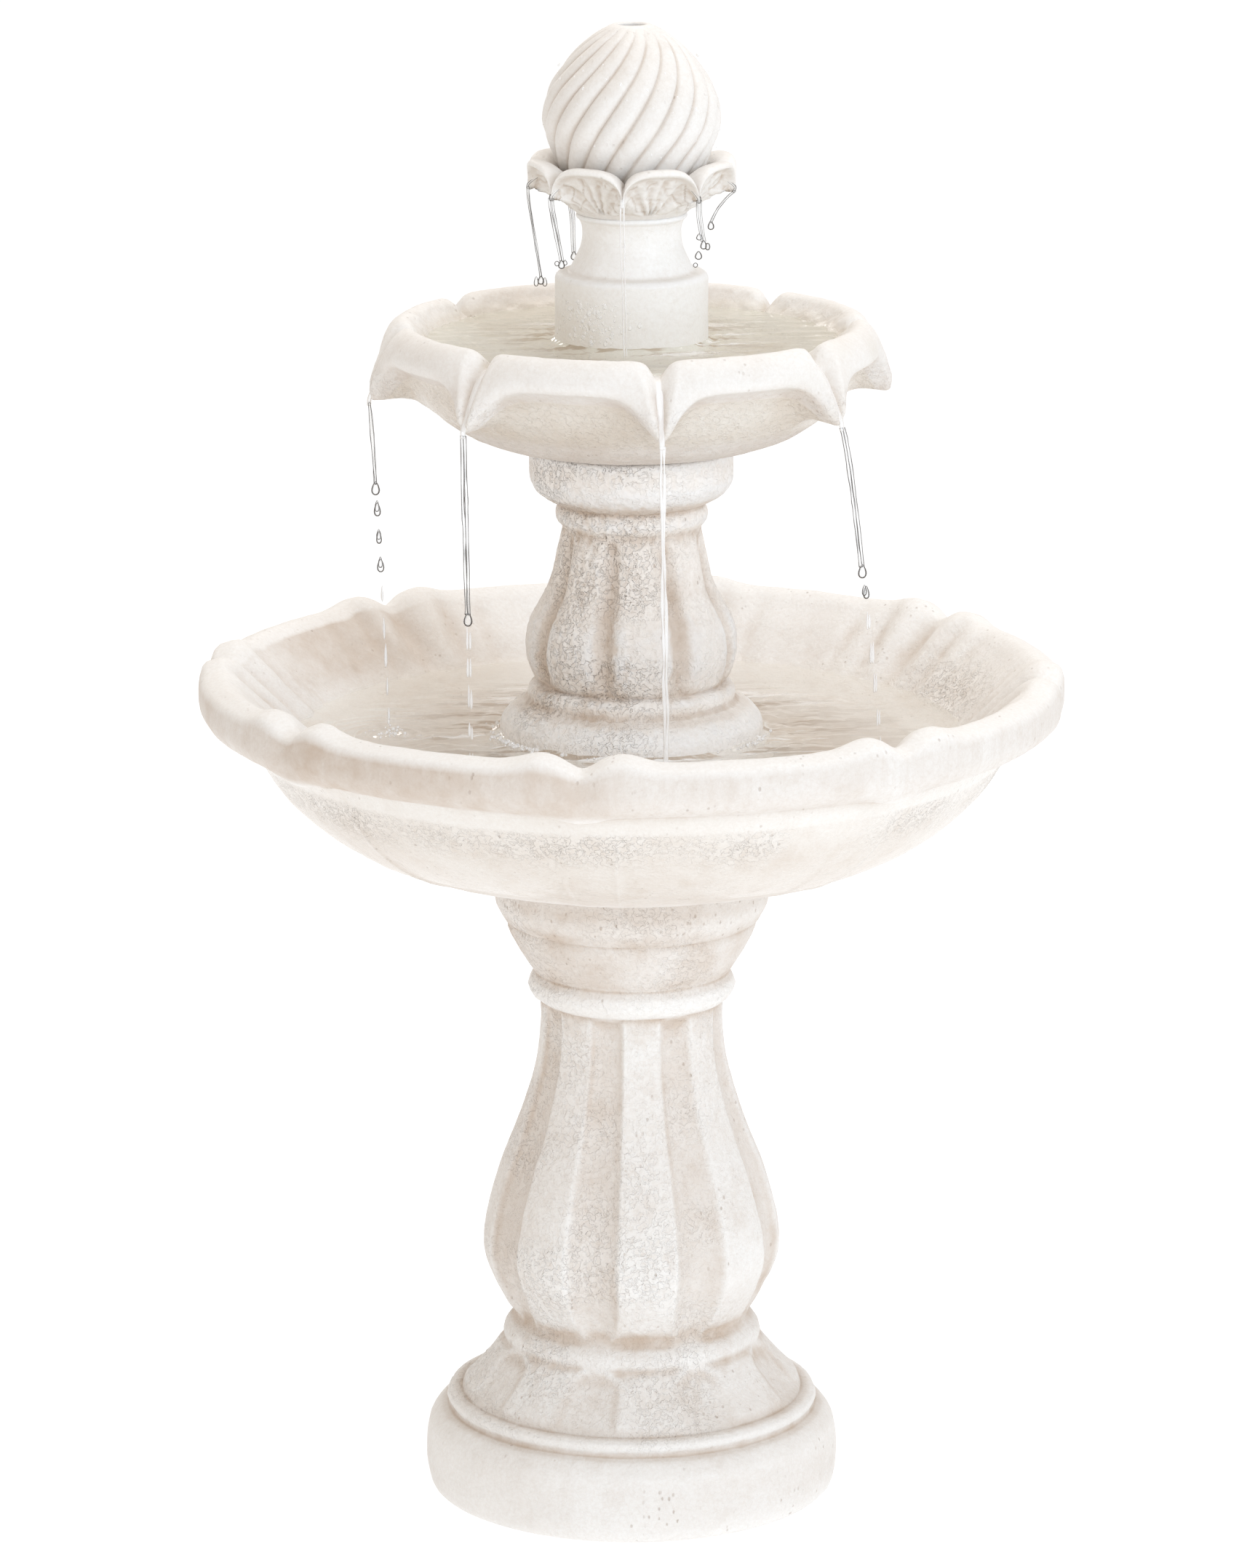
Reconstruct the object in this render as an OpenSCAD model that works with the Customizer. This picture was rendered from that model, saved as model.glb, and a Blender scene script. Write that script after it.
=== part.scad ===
/* [Pedestal] */
// Radius of the plinth at its widest
plinth_r = 139; // [125:1:150]
// Depth of the eight flutes on the baluster
pedestal_flute = 5.5; // [1:0.5:7]
// Radius of the cord arch in the back of the plinth
cord_arch_r = 11; // [8:1:14]

/* [Lower basin] */
// Radius of the rim at its widest
basin_r = 287; // [270:1:300]
// Height of the double folds above the rim
fold_h = 5; // [0:0.5:8]
// Radius of the boss that locates the basin on the pedestal
boss_r = 52; // [46:1:53]

/* [Upper column] */
// Depth of the valleys between the eight lobes
column_flute = 5; // [1:0.5:6]
// Width of each water inlet at the foot of the skirt
inlet_w = 28; // [20:1:34]
// Height of each water inlet
inlet_h = 17; // [10:1:24]

/* [Upper bowl] */
// Radius of the spout tips
spout_r = 172; // [168:1:176]
// Height of the spout tips above the ground
spout_z = 752.5; // [750:0.5:756]

/* [Finial] */
// Radius of the swirl ball
ball_r = 58.4; // [54:0.2:60]
// Number of swirled ribs on the ball
ribs = 18; // [12:1:24]
// Depth of the grooves between the ribs
rib_depth = 2.4; // [1:0.2:3]
// Degrees that a rib turns for each degree of latitude
swirl = 0.7; // [0:0.1:1]

/* [Plumbing] */
// Bore radius of the hose and the riser tube
water_bore = 6.5; // [6:0.1:7]
// Number of impeller blades
blades = 6; // [4:1:8]

/* [Hidden] */
$fn = 96;

stone = [0.90, 0.87, 0.82];
rubber = [0.16, 0.16, 0.17];
plastic = [0.20, 0.21, 0.23];
steel = [0.72, 0.73, 0.75];
copper = [0.72, 0.42, 0.24];
tubing = [0.75, 0.78, 0.78];

eps = 0.01;
fit = 0.05;           // radial play of a sliding or turning fit
pitch = 45;           // eight panels, folds, lobes and spouts
basin_phase = -13;    // turn of the basin folds against the spouts
cup_phase = -11.5;    // turn of the cup notches against the spouts

// heights above the ground
pedestal_top = 433;
basin_bottom = 434;
basin_floor = 458;
collar_top = 716.8;
bowl_bottom = 718.8;
bowl_floor = 741;
neck_top = 872.5;
cup_floor = 893;
ball_top = 996.5;
ball_mid = 931;

// Outlines: radius, height, and the share of the full flute depth there
pedestal_line = [
    [131, 0, 0], [136.5, 4, 0], [plinth_r, 16, 0], [plinth_r, 32, 0], [137, 45, 0], [132, 53, 0],
    [127, 56.3, 0], [124, 60, 0], [125.3, 63, 0], [119, 68.5, 0], [114.8, 71, 0],
    [112.6, 74, 0.6], [104, 83, 0.7], [95.5, 93, 0.7], [90, 100, 0.4], [86.5, 104, 0],
    [87, 108, 0], [83.5, 115.5, 0], [78.8, 121.5, 0],
    [84.5, 131, 0.6], [92.5, 146, 0.9], [98.5, 161, 1], [100, 173, 1], [98.5, 187, 1], [94.5, 205, 1],
    [87, 229, 1], [77, 254, 0.9], [68.5, 280, 0.8], [63, 304, 0.7], [61, 326, 0.7], [61.5, 341, 0],
    [66, 344, 0], [69.5, 351, 0], [66, 359, 0], [65.5, 362, 0],
    [74, 374, 0], [81.5, 388, 0], [83, 392, 0], [83, 397, 0],
    [86, 399, 0], [91, 408, 0], [92, 418, 0], [92, pedestal_top, 0]
];
column_line = [
    [92, basin_floor, 0], [92, 474, 0], [90.5, 500, 0], [88, 524, 0], [86.5, 534, 0], [80, 542, 0],
    [71, 546.5, 0], [68.5, 549, 0], [69, 553.5, 0], [66, 558, 0], [61.5, 559.5, 0],
    [65, 564, 0.5], [69, 575, 1], [70, 587, 1], [67.5, 600, 1], [61, 613, 1],
    [54.5, 626, 0.9], [51, 640, 0.7], [47.5, 656, 0.5], [46, 664, 0],
    [49.5, 669, 0], [50, 675, 0], [48, 680, 0],
    [56.5, 684.5, 0], [63.5, 689.5, 0], [67, 697, 0], [67, collar_top, 0]
];

// Basin outline: radius, height, share of the fold height, share of the fold crease
basin_line = [
    [98, basin_bottom, 0, 0], [125, 437, 0, 0], [156, 443.5, 0, 0], [186, 455, 0, 0],
    [212, 471, 0, 0.1], [233, 491, 0, 0.2], [248, 513, 0, 0.3], [256, 530.5, 0, 0.4],
    [270, 531.5, 0.1, 0.6], [281, 536.5, 0.15, 1], [basin_r, 548, 0.3, 1], [285, 560, 0.6, 1],
    [279.5, 567, 0.9, 0.8], [273, 568, 1, 0.6], [265, 563, 0.8, 0.8], [250, 550, 0.4, 0.8],
    [233, 536, 0.2, 0.4], [212, 518, 0, 0], [184, 494, 0, 0], [152, 470, 0, 0], [124, basin_floor, 0, 0]
];

// Bowl and cup outlines: radius and height at the middle of a petal, radius and height
// at the spout between two petals, and how many degrees either side the spout reaches
bowl_line = [
    [66, bowl_bottom, 66, bowl_bottom, 0], [85, 721, 85, 721, 0], [107, 728, 107, 728, 0],
    [122, 737, 122, 737, 0], [132, 745.5, 133, 744.5, 4.4], [139.5, 755, 143.5, spout_z - 1.5, 4.8],
    [145, 765, 154, spout_z, 5.2], [150.5, 773, 163, spout_z - 1, 5.3],
    [157, 777.8, 169.5, spout_z - 1.5, 5.3], [162.3, 780.5, spout_r + 0.4, spout_z + 0.5, 5.2],
    [164, 785.5, spout_r + 0.6, spout_z + 5.5, 4.9], [162, 792.5, 169, 768, 4.4],
    [157.5, 798.6, 161.5, 779.5, 3.5], [151.5, 801.5, 150, 787.5, 2.3],
    [145.5, 799.8, 140, 786, 2.6], [138, 792.5, 134, 783.5, 3.2],
    [124, 778, 122, 775, 4], [104, 759.5, 104, 759.5, 0], [80, 747, 80, 747, 0],
    [58, bowl_floor, 58, bowl_floor, 0]
];
cup_line = [
    [34, neck_top, 34, neck_top], [39.5, 876.5, 39.5, 876.5], [47, 882.5, 50, 883],
    [54, 891, 59, 886.5], [61, 900, 65, 887.5], [67, 903, 67.5, 888.5], [68, 906, 68, 890.5],
    [64, 910, 63, 893], [57, 909, 55, 896], [52, 904, 51, 898], [49, 898, 49, 896.5],
    [44, cup_floor, 44, cup_floor]
];
ball_line = [
    [38, cup_floor], [44, 896.5], [49, 905], [53, 915], [56.5, 924], [ball_r, 933],
    [57.9, 941], [56.3, 949], [52.5, 958.5], [46.6, 967.5], [38.5, 977.5], [29, 986.5],
    [20, 992.5], [13, ball_top]
];

// The pump stands on the basin floor with its outlet on the fountain's axis
pump_w = 56;
pump_d = 40;
pump_z0 = basin_floor + 6;
pump_z1 = pump_z0 + 50;
pump_front = -7;
pump_back = pump_front + pump_d;
rotor_z = pump_z0 + 28;
volute_r = 15;
volute_d = 13;
well_r = 9.5;
well_end = pump_back - 9;
outlet_top = pump_z1 + 26;
cover_d = 18;
gland_at = [-40, 6];
plug_at = [0, 108];
hose_r = 9;
hose_bottom = pump_z1 + 4;
hose_top = collar_top - 3;
tail_bottom = hose_top - 18;
nipple_top = bowl_floor + 22;
tube_r = 8;

// Angles of a ring: even steps, or closer together beside each spout
even = [for (i = [0:63]) i * 360 / 64];
near_spout = [0, 1.5, 3.2, 5.2, 8, 12.5, 18.5, 26.5, 32.5, 37, 39.8, 41.8, 43.5];
spouted = [for (k = [0:7]) each [for (s = near_spout) k * pitch + s]];

function wrap(a) = a - pitch * round(a / pitch);
// Point that falls away over about w degrees either side
function peak(a, w) = w <= 0 ? 0 : exp(-pow(abs(a) / w, 1.6));

// Concave flute as wide as the stave beside it
function flute(a) = let (u = (pitch / 2 - abs(wrap(a))) / (pitch / 4)) max(0, 1 - u * u);
// Valley between two round lobes
function valley(a) = exp(-pow((pitch / 2 - abs(wrap(a))) / 6, 2));
// Two bumps with a dip between them
function fold(a) = let (t = abs(wrap(a))) exp(-pow((t - 6) / 3.5, 2)) - 0.6 * exp(-pow(t / 2.6, 2));
function crease(a) = exp(-pow(wrap(a) / 3.5, 2));

function at(r, z, a) = [r * cos(a), r * sin(a), z];
function petal_mix(q, s, a) = at(q[0] + s * (q[2] - q[0]), q[1] + s * (q[3] - q[1]), a);
function arch(a) = let (u = 1 - abs(wrap(a)) / (pitch / 2)) 1 - sqrt(1 - u * u * u);

// Closed skin through rings of points that run up one after the other
module skin(rings) {
    n = len(rings[0]);
    last = len(rings) - 1;
    polyhedron(
        points = [for (r = rings) each r],
        faces = concat(
            [[for (i = [0:n - 1]) i]],
            [[for (i = [n - 1:-1:0]) last * n + i]],
            [for (k = [0:last - 1], i = [0:n - 1])
                let (j = (i + 1) % n) [k * n + i, (k + 1) * n + i, (k + 1) * n + j]],
            [for (k = [0:last - 1], i = [0:n - 1])
                let (j = (i + 1) % n) [k * n + i, (k + 1) * n + j, k * n + j]]
        )
    );
}

module tube(r_out, r_in, z0, z1) {
    translate([0, 0, z0]) difference() {
        cylinder(r = r_out, h = z1 - z0);
        translate([0, 0, -1]) cylinder(r = r_in, h = z1 - z0 + 2);
    }
}

// Cylinder along +Y from y0 to y1 on the rotor's axis
module along_y(r, y0, y1) {
    translate([0, y0, rotor_z]) rotate([-90, 0, 0]) cylinder(r = r, h = y1 - y0);
}

module pedestal() {
    color(stone) difference() {
        skin([for (q = pedestal_line) [for (a = even) at(q[0] - q[2] * pedestal_flute * flute(a), q[1], a)]]);
        rotate_extrude() polygon([
            [0, -1], [118, -1], [118, 50], [100, 62], [76, 88], [66, 110], [66, 125],
            [80, 150], [82, 185], [70, 225], [52, 275], [46, 300], [46, 380], [54, 400],
            [boss_r + 2, 410], [boss_r + 2, pedestal_top + 1], [0, pedestal_top + 1]
        ]);
        tube(82, 74, pedestal_top - 3, pedestal_top + 1);
        translate([0, 100, 0]) rotate([-90, 0, 0]) cylinder(r = cord_arch_r, h = 60);
    }
}

module basin_seal() {
    color(rubber) tube(82, 74, pedestal_top - 3, basin_bottom);
}

module lower_basin() {
    color(stone) difference() {
        union() {
            skin([for (q = basin_line) [for (a = spouted)
                at(q[0] - 2 * q[3] * crease(a), q[1] + q[2] * fold_h * fold(a), a + basin_phase)]]);
            translate([0, 0, basin_bottom - 20]) cylinder(r = boss_r, h = 30);
        }
        translate([gland_at[0], gland_at[1], basin_bottom - 30]) cylinder(r = 8, h = 60);
        translate([plug_at[0], plug_at[1], basin_bottom - 30]) cylinder(r = 9, h = 60);
    }
}

module cord_gland() {
    color(rubber) translate([gland_at[0], gland_at[1], 0]) {
        tube(8, 4, basin_bottom - 20, basin_floor);
        tube(11, 4, basin_floor, basin_floor + 3);
    }
}

module drain_plug() {
    color(rubber) translate([plug_at[0], plug_at[1], 0]) {
        translate([0, 0, basin_bottom + 2]) cylinder(r = 9 - fit, h = basin_floor - basin_bottom + 4);
        translate([0, 0, basin_floor + 2.5]) cylinder(r1 = 13, r2 = 12, h = 3.5);
        translate([0, 0, basin_floor + 5]) cylinder(r = 4, h = 9);
        translate([0, 0, basin_floor + 14]) sphere(r = 5.5);
    }
}

module suction_feet() {
    color(rubber) for (x = [-20, 20], y = [2, 26]) translate([x, y, basin_floor]) {
        difference() {
            cylinder(r1 = 8, r2 = 4, h = 4);
            translate([0, 0, -eps]) cylinder(r1 = 6, r2 = 1, h = 2);
        }
        translate([0, 0, 4 - eps]) cylinder(r = 3, h = 5);
    }
}

module rounded_block(w, d, h, r) {
    hull() for (x = [r - w / 2, w / 2 - r], z = [r, h - r])
        translate([x, 0, z]) rotate([-90, 0, 0]) cylinder(r = r, h = d, $fn = 32);
}

module pump_body() {
    mid_y = pump_front + volute_d;
    color(plastic) difference() {
        union() {
            translate([0, pump_front, pump_z0]) rounded_block(pump_w, pump_d, pump_z1 - pump_z0, 6);
            translate([0, 0, pump_z1 - 2]) cylinder(r = water_bore - fit, h = outlet_top - pump_z1 + 2);
        }
        along_y(volute_r, pump_front - 1, mid_y);
        along_y(well_r, mid_y - 1, well_end);
        along_y(4, well_end - 1, well_end + 1.5);
        translate([0, 0, rotor_z]) cylinder(r = 4.5, h = 60);
        difference() {
            translate([0, mid_y + 3, pump_z0 + 4]) rounded_block(48, pump_d, pump_z1 - pump_z0 - 8, 4);
            along_y(well_r + 2, mid_y, well_end + 3);
        }
        difference() {
            along_y(18, pump_front - 1, pump_front + 1.5);
            along_y(16.2, pump_front - 2, pump_front + 2);
        }
        for (x = [-20, 20], y = [2, 26])
            translate([x, y, pump_z0 - 1]) cylinder(r = 3, h = 4.2);
    }
}

// Laminated core with poles either side of the rotor and a yoke below it
module stator_core() {
    color(steel) translate([0, 22, rotor_z]) rotate([90, 0, 0]) linear_extrude(10) difference() {
        union() {
            translate([-20, -10]) square([40, 20]);
            translate([-20, -21]) square([40, 6]);
            for (x = [-20, 14]) translate([x, -21]) square([6, 25]);
        }
        circle(r = well_r + 2.4);
        translate([-2, -16]) square([4, 32]);
        translate([-14, -15.5]) square([28, 7]);
    }
}

module stator_coils() {
    color(copper) difference() {
        translate([-10, 9.5, rotor_z - 23.4]) cube([20, 15, 11]);
        translate([-11, 11.9, rotor_z - 21.1]) cube([22, 10.2, 6.2]);
    }
}

module motor_end_cover() {
    color(plastic) translate([0, pump_back - 3, pump_z0 + 4])
        rounded_block(48, 3, pump_z1 - pump_z0 - 8, 4);
}

module rotor_magnet() {
    color(steel) difference() {
        along_y(well_r - 1, 8, well_end - 2);
        along_y(1.2 + fit, 0, well_end);
    }
}

module impeller() {
    color(plastic) difference() {
        union() {
            along_y(5, -5, 8);
            along_y(13, 3, 5);
            for (k = [0:blades - 1]) translate([0, -4, rotor_z]) rotate([0, k * 360 / blades, 0])
                translate([0, 0, -0.8]) cube([12.8, 8, 1.6]);
        }
        along_y(1.2 + fit, -6, 9);
    }
}

module rotor_shaft() {
    color("white") along_y(1.2, pump_front - 2.5, well_end + 1.3);
}

module rear_bushing() {
    color(rubber) difference() {
        along_y(4, well_end, well_end + 1.5);
        along_y(1.2, well_end - 1, well_end + 2);
    }
}

module front_bushing() {
    color(rubber) difference() {
        along_y(3.2, pump_front - 3, pump_front - 0.5);
        along_y(1.2, pump_front - 4, pump_front);
    }
}

module volute_seal() {
    color(rubber) difference() {
        along_y(18, pump_front, pump_front + 1.5);
        along_y(16.2, pump_front - 1, pump_front + 2);
    }
}

module volute_cover() {
    color(plastic) difference() {
        along_y(19, pump_front - 3, pump_front);
        difference() {
            along_y(9, pump_front - 4, pump_front + 1);
            along_y(5, pump_front - 5, pump_front + 2);
            for (k = [0:2]) translate([0, pump_front - 5, rotor_z]) rotate([0, k * 120 + 30, 0])
                translate([0, 0, -1.2]) cube([10, 7, 2.4]);
        }
        along_y(3.2, pump_front - 4, pump_front - 0.5);
        along_y(1.2, pump_front - 1, pump_front + 1);
    }
}

module intake_cover() {
    wall = 2.2;
    front = pump_front - cover_d;
    height = pump_z1 - pump_z0;
    color(plastic) difference() {
        translate([0, front, pump_z0]) rounded_block(pump_w, cover_d, height, 6);
        translate([0, front + wall, pump_z0 + wall])
            rounded_block(pump_w - 2 * wall, cover_d, height - 2 * wall, 4);
        for (k = [0:8]) translate([k * 5.6 - 23.6, front - 1, pump_z0 + 24]) cube([2.4, wall + 2, 17]);
        for (k = [0:3], side = [-1, 1])
            translate([side * pump_w / 2 - 4, front + 4, pump_z0 + 8 + k * 8]) cube([8, 10, 3]);
        along_yz(2 + fit, front - 1, front + wall + 1, pump_z0 + 12);
    }
}

// Cylinder along +Y at a height of its own
module along_yz(r, y0, y1, z) {
    translate([0, y0, z]) rotate([-90, 0, 0]) cylinder(r = r, h = y1 - y0);
}

module flow_dial() {
    front = pump_front - cover_d;
    z = pump_z0 + 12;
    color(plastic) difference() {
        union() {
            along_yz(2, front - 1, front + 4, z);
            along_yz(8.5, front - 2.5, front, z);
            translate([-1, front - 5, z - 7]) cube([2, 3, 14]);
        }
        along_yz(1.6, front - 3, front + 1, z + 20);
    }
}

module upper_column() {
    color(stone) difference() {
        skin([for (q = column_line) [for (a = even) at(q[0] - q[2] * column_flute * valley(a), q[1], a)]]);
        rotate_extrude() polygon([
            [0, basin_floor - 1], [80, basin_floor - 1], [80, 505], [76, 522], [66, 534], [57, 545],
            [52, 560], [54, 588], [45, 612], [36, 640], [33, 660], [33, 695], [14, 705],
            [14, collar_top + 1], [0, collar_top + 1]
        ]);
        for (k = [0:3]) rotate([0, 0, k * 90]) {
            translate([60, -inlet_w / 2, basin_floor - 1]) cube([40, inlet_w, inlet_h - inlet_w / 2 + 1]);
            translate([60, 0, basin_floor + inlet_h - inlet_w / 2]) rotate([0, 90, 0])
                cylinder(r = inlet_w / 2, h = 40);
        }
    }
}

module hose_grommet() {
    color(rubber) tube(14, hose_r, 705, collar_top - 2);
}

module riser_hose() {
    color(tubing) tube(hose_r, water_bore, hose_bottom, hose_top);
}

module bowl_gasket() {
    color(rubber) tube(60, 44, collar_top, bowl_bottom);
}

module upper_bowl() {
    color(stone) difference() {
        skin([for (q = bowl_line) [for (a = spouted) petal_mix(q, peak(wrap(a), q[4]), a)]]);
        translate([0, 0, bowl_bottom - 1]) cylinder(r = 10, h = 40);
        translate([0, 0, bowl_bottom - 1]) cylinder(r = 20, h = 7);
    }
}

module bowl_fitting() {
    color(plastic) difference() {
        union() {
            translate([0, 0, tail_bottom]) cylinder(r = water_bore - fit, h = nipple_top - tail_bottom);
            translate([0, 0, collar_top - 1]) cylinder(r = 9.9, h = bowl_floor + 2 - collar_top + 1);
            translate([0, 0, bowl_floor + 2]) cylinder(r = 20, h = 3);
        }
        translate([0, 0, tail_bottom - 1]) cylinder(r = 5, h = nipple_top - tail_bottom + 2);
    }
}

module fitting_washer() {
    color(rubber) tube(20, 10, bowl_floor, bowl_floor + 2);
}

module fitting_nut() {
    color(plastic) translate([0, 0, bowl_bottom]) difference() {
        cylinder(r = 17, h = 6, $fn = 6);
        translate([0, 0, -1]) cylinder(r = 9.9, h = 8);
    }
}

module topper_base() {
    color(stone) rotate_extrude() polygon([
        [40, bowl_floor], [50.3, bowl_floor], [50.3, 830.5], [49.4, 833], [47, 834.2],
        [44.5, 836], [40, 840], [36, 845.5], [33.4, 851], [32.3, 857], [32.8, 864], [34.5, 869],
        [36.5, 870.3], [36.5, neck_top], [tube_r + 0.3, neck_top], [tube_r + 0.3, 828],
        [34, 820], [40, 812]
    ]);
}

module petal_cup() {
    color(stone) difference() {
        skin([for (q = cup_line) [for (a = even) petal_mix(q, arch(a), a + cup_phase)]]);
        translate([0, 0, neck_top - 1]) cylinder(r = tube_r + 0.3, h = 40);
    }
}

module swirl_ball() {
    color(stone) difference() {
        skin([for (q = ball_line) [for (i = [0:ribs * 4 - 1])
            let (a = i * 90 / ribs, latitude = atan2(q[1] - ball_mid, q[0]))
                at(q[0] - rib_depth * q[0] / ball_r * (1 - abs(sin(a * ribs / 2))), q[1], a + swirl * latitude)]]);
        translate([0, 0, cup_floor - 1]) cylinder(r = tube_r + 0.3, h = 110);
        translate([0, 0, ball_top - 11.5]) cylinder(r = 8.8, h = 13);
    }
}

module riser_tube() {
    color(tubing) tube(tube_r, water_bore, bowl_floor + 6, ball_top - 11.5);
}

module outlet_nozzle() {
    color(plastic) tube(8.75, 5, ball_top - 11.5, ball_top - 5);
}

pedestal();
basin_seal();
lower_basin();
cord_gland();
drain_plug();
suction_feet();
pump_body();
stator_core();
stator_coils();
motor_end_cover();
rotor_magnet();
impeller();
rotor_shaft();
rear_bushing();
front_bushing();
volute_seal();
volute_cover();
intake_cover();
flow_dial();
upper_column();
hose_grommet();
riser_hose();
bowl_gasket();
upper_bowl();
bowl_fitting();
fitting_washer();
fitting_nut();
topper_base();
petal_cup();
swirl_ball();
riser_tube();
outlet_nozzle();
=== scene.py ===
"""A tiered garden fountain in pale cast stone, with its water running.

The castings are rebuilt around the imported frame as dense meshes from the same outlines, with
the surface relief of the stone in the mesh itself. The pump, hoses and seals are the frame's
own nodes with better materials. The water is made here. Shapes are in millimetres and degrees;
lamps, the camera and materials are in metres.
"""

import math
import random

import bpy
import numpy as np
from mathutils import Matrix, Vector


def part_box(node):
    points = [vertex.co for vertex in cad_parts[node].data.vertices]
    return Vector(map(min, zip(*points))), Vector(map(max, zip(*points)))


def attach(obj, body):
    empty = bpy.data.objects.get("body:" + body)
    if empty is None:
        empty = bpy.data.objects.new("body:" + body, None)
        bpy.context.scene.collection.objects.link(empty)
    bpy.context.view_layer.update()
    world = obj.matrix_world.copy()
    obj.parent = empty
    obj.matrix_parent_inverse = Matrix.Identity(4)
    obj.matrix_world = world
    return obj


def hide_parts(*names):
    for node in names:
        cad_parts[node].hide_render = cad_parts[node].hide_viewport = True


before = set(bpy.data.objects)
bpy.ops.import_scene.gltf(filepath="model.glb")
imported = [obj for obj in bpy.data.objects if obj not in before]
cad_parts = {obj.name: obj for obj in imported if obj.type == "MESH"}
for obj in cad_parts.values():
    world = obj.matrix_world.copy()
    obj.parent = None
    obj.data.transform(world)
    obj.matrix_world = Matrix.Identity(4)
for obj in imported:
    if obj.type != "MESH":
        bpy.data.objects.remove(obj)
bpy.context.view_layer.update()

MM = 0.001
PITCH = 45.0          # eight panels, folds, lobes and spouts
BASIN_TURN = -13.0    # turn of the basin folds against the bowl's spouts
CUP_TURN = -11.5      # turn of the cup notches against the bowl's spouts
SPOUT_FRONT = -90.0   # the spout that points along -Y
BOSS = 20.0           # how far the basin's boss reaches down


def low(node):
    """Lowest corner of a CAD node in millimetres."""
    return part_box(node)[0] / MM


def high(node):
    """Highest corner of a CAD node in millimetres."""
    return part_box(node)[1] / MM


BASIN_BOTTOM = low("lower_basin").z + BOSS
BASIN_FLOOR = low("upper_column").z
COLLAR_TOP = high("upper_column").z
BOWL_BOTTOM = low("upper_bowl").z
BOWL_FLOOR = low("topper_base").z
NECK_TOP = high("topper_base").z
CUP_FLOOR = low("swirl_ball").z
BALL_TOP = high("swirl_ball").z
BASIN_WATER = 525.0
BOWL_WATER = 789.0

# ---------------------------------------------------------------- camera, light and floor


def make_camera():
    """Long lens in front and a little to the left, looking down from above the ball."""
    distance, height, azimuth, pitch = 4.632, 1.618, -6.4, 13.714
    data = bpy.data.cameras.new("camera")
    data.sensor_width = 36
    data.lens = 164.1
    data.shift_x = -0.0026
    data.dof.use_dof = False
    data.clip_end = 100
    camera = bpy.data.objects.new("camera", data)
    a = math.radians(azimuth)
    camera.location = (distance * math.sin(a), -distance * math.cos(a), height)
    camera.rotation_euler = (math.radians(90 - pitch), 0, a)
    bpy.context.scene.collection.objects.link(camera)
    bpy.context.scene.camera = camera


def make_studio():
    """Soft cool key light from the right, a weak one in front, one behind for the water's glints,
    a warm white surround and a pale floor that glows a little. Each lamp has its power in watts,
    width, place, the height on the axis that it points at, and colour."""
    lamps = {
        "key": (54, 1.8, (2.15, -3.35, 2.1), 0.5, (0.70, 0.84, 1.0)),
        "front": (12, 1.6, (-0.6, -4.0, 1.7), 0.55, (0.9, 0.95, 1.0)),
        "top": (36, 2.5, (0.4, 0.6, 3.4), 0.6, (1, 1, 1)),
        "back": (9, 0.9, (-0.9, 3.2, 2.3), 0.6, (1, 1, 1)),
    }
    for name, (power, width, place, aim, colour) in lamps.items():
        data = bpy.data.lights.new(name, "AREA")
        data.energy, data.shape, data.size, data.color = power, "DISK", width, colour
        lamp = bpy.data.objects.new(name, data)
        lamp.location = place
        lamp.rotation_euler = (Vector((0, 0, aim)) - Vector(place)).to_track_quat("-Z", "Y").to_euler()
        bpy.context.scene.collection.objects.link(lamp)
    world = bpy.data.worlds.new("surround")
    world.use_nodes = True
    colour, strength = world.node_tree.nodes["Background"].inputs[:2]
    colour.default_value, strength.default_value = (1.0, 0.945, 0.885, 1), 0.675
    bpy.context.scene.world = world
    bpy.ops.mesh.primitive_plane_add(size=60, location=(0, 0, -0.0005))
    floor = bpy.context.object
    floor.name = "floor"
    paint = Nodes("floor_paint")
    paint.set(Base_Color=(0.5, 0.5, 0.5), Roughness=0.9)
    paint.set(Emission_Color=(0.97, 0.985, 1.0), Emission_Strength=0.69)
    floor.data.materials.append(paint.material)
    view = bpy.context.scene.view_settings
    view.view_transform, view.look = "Standard", "None"


# ---------------------------------------------------------------- materials

IVORY = (0.87, 0.853, 0.83)
TAUPE = (0.565, 0.45, 0.355)
SOAKED = (0.72, 0.65, 0.55)
PIT_BROWN = (0.40, 0.30, 0.23)
WATER_IOR = 1.333


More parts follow.
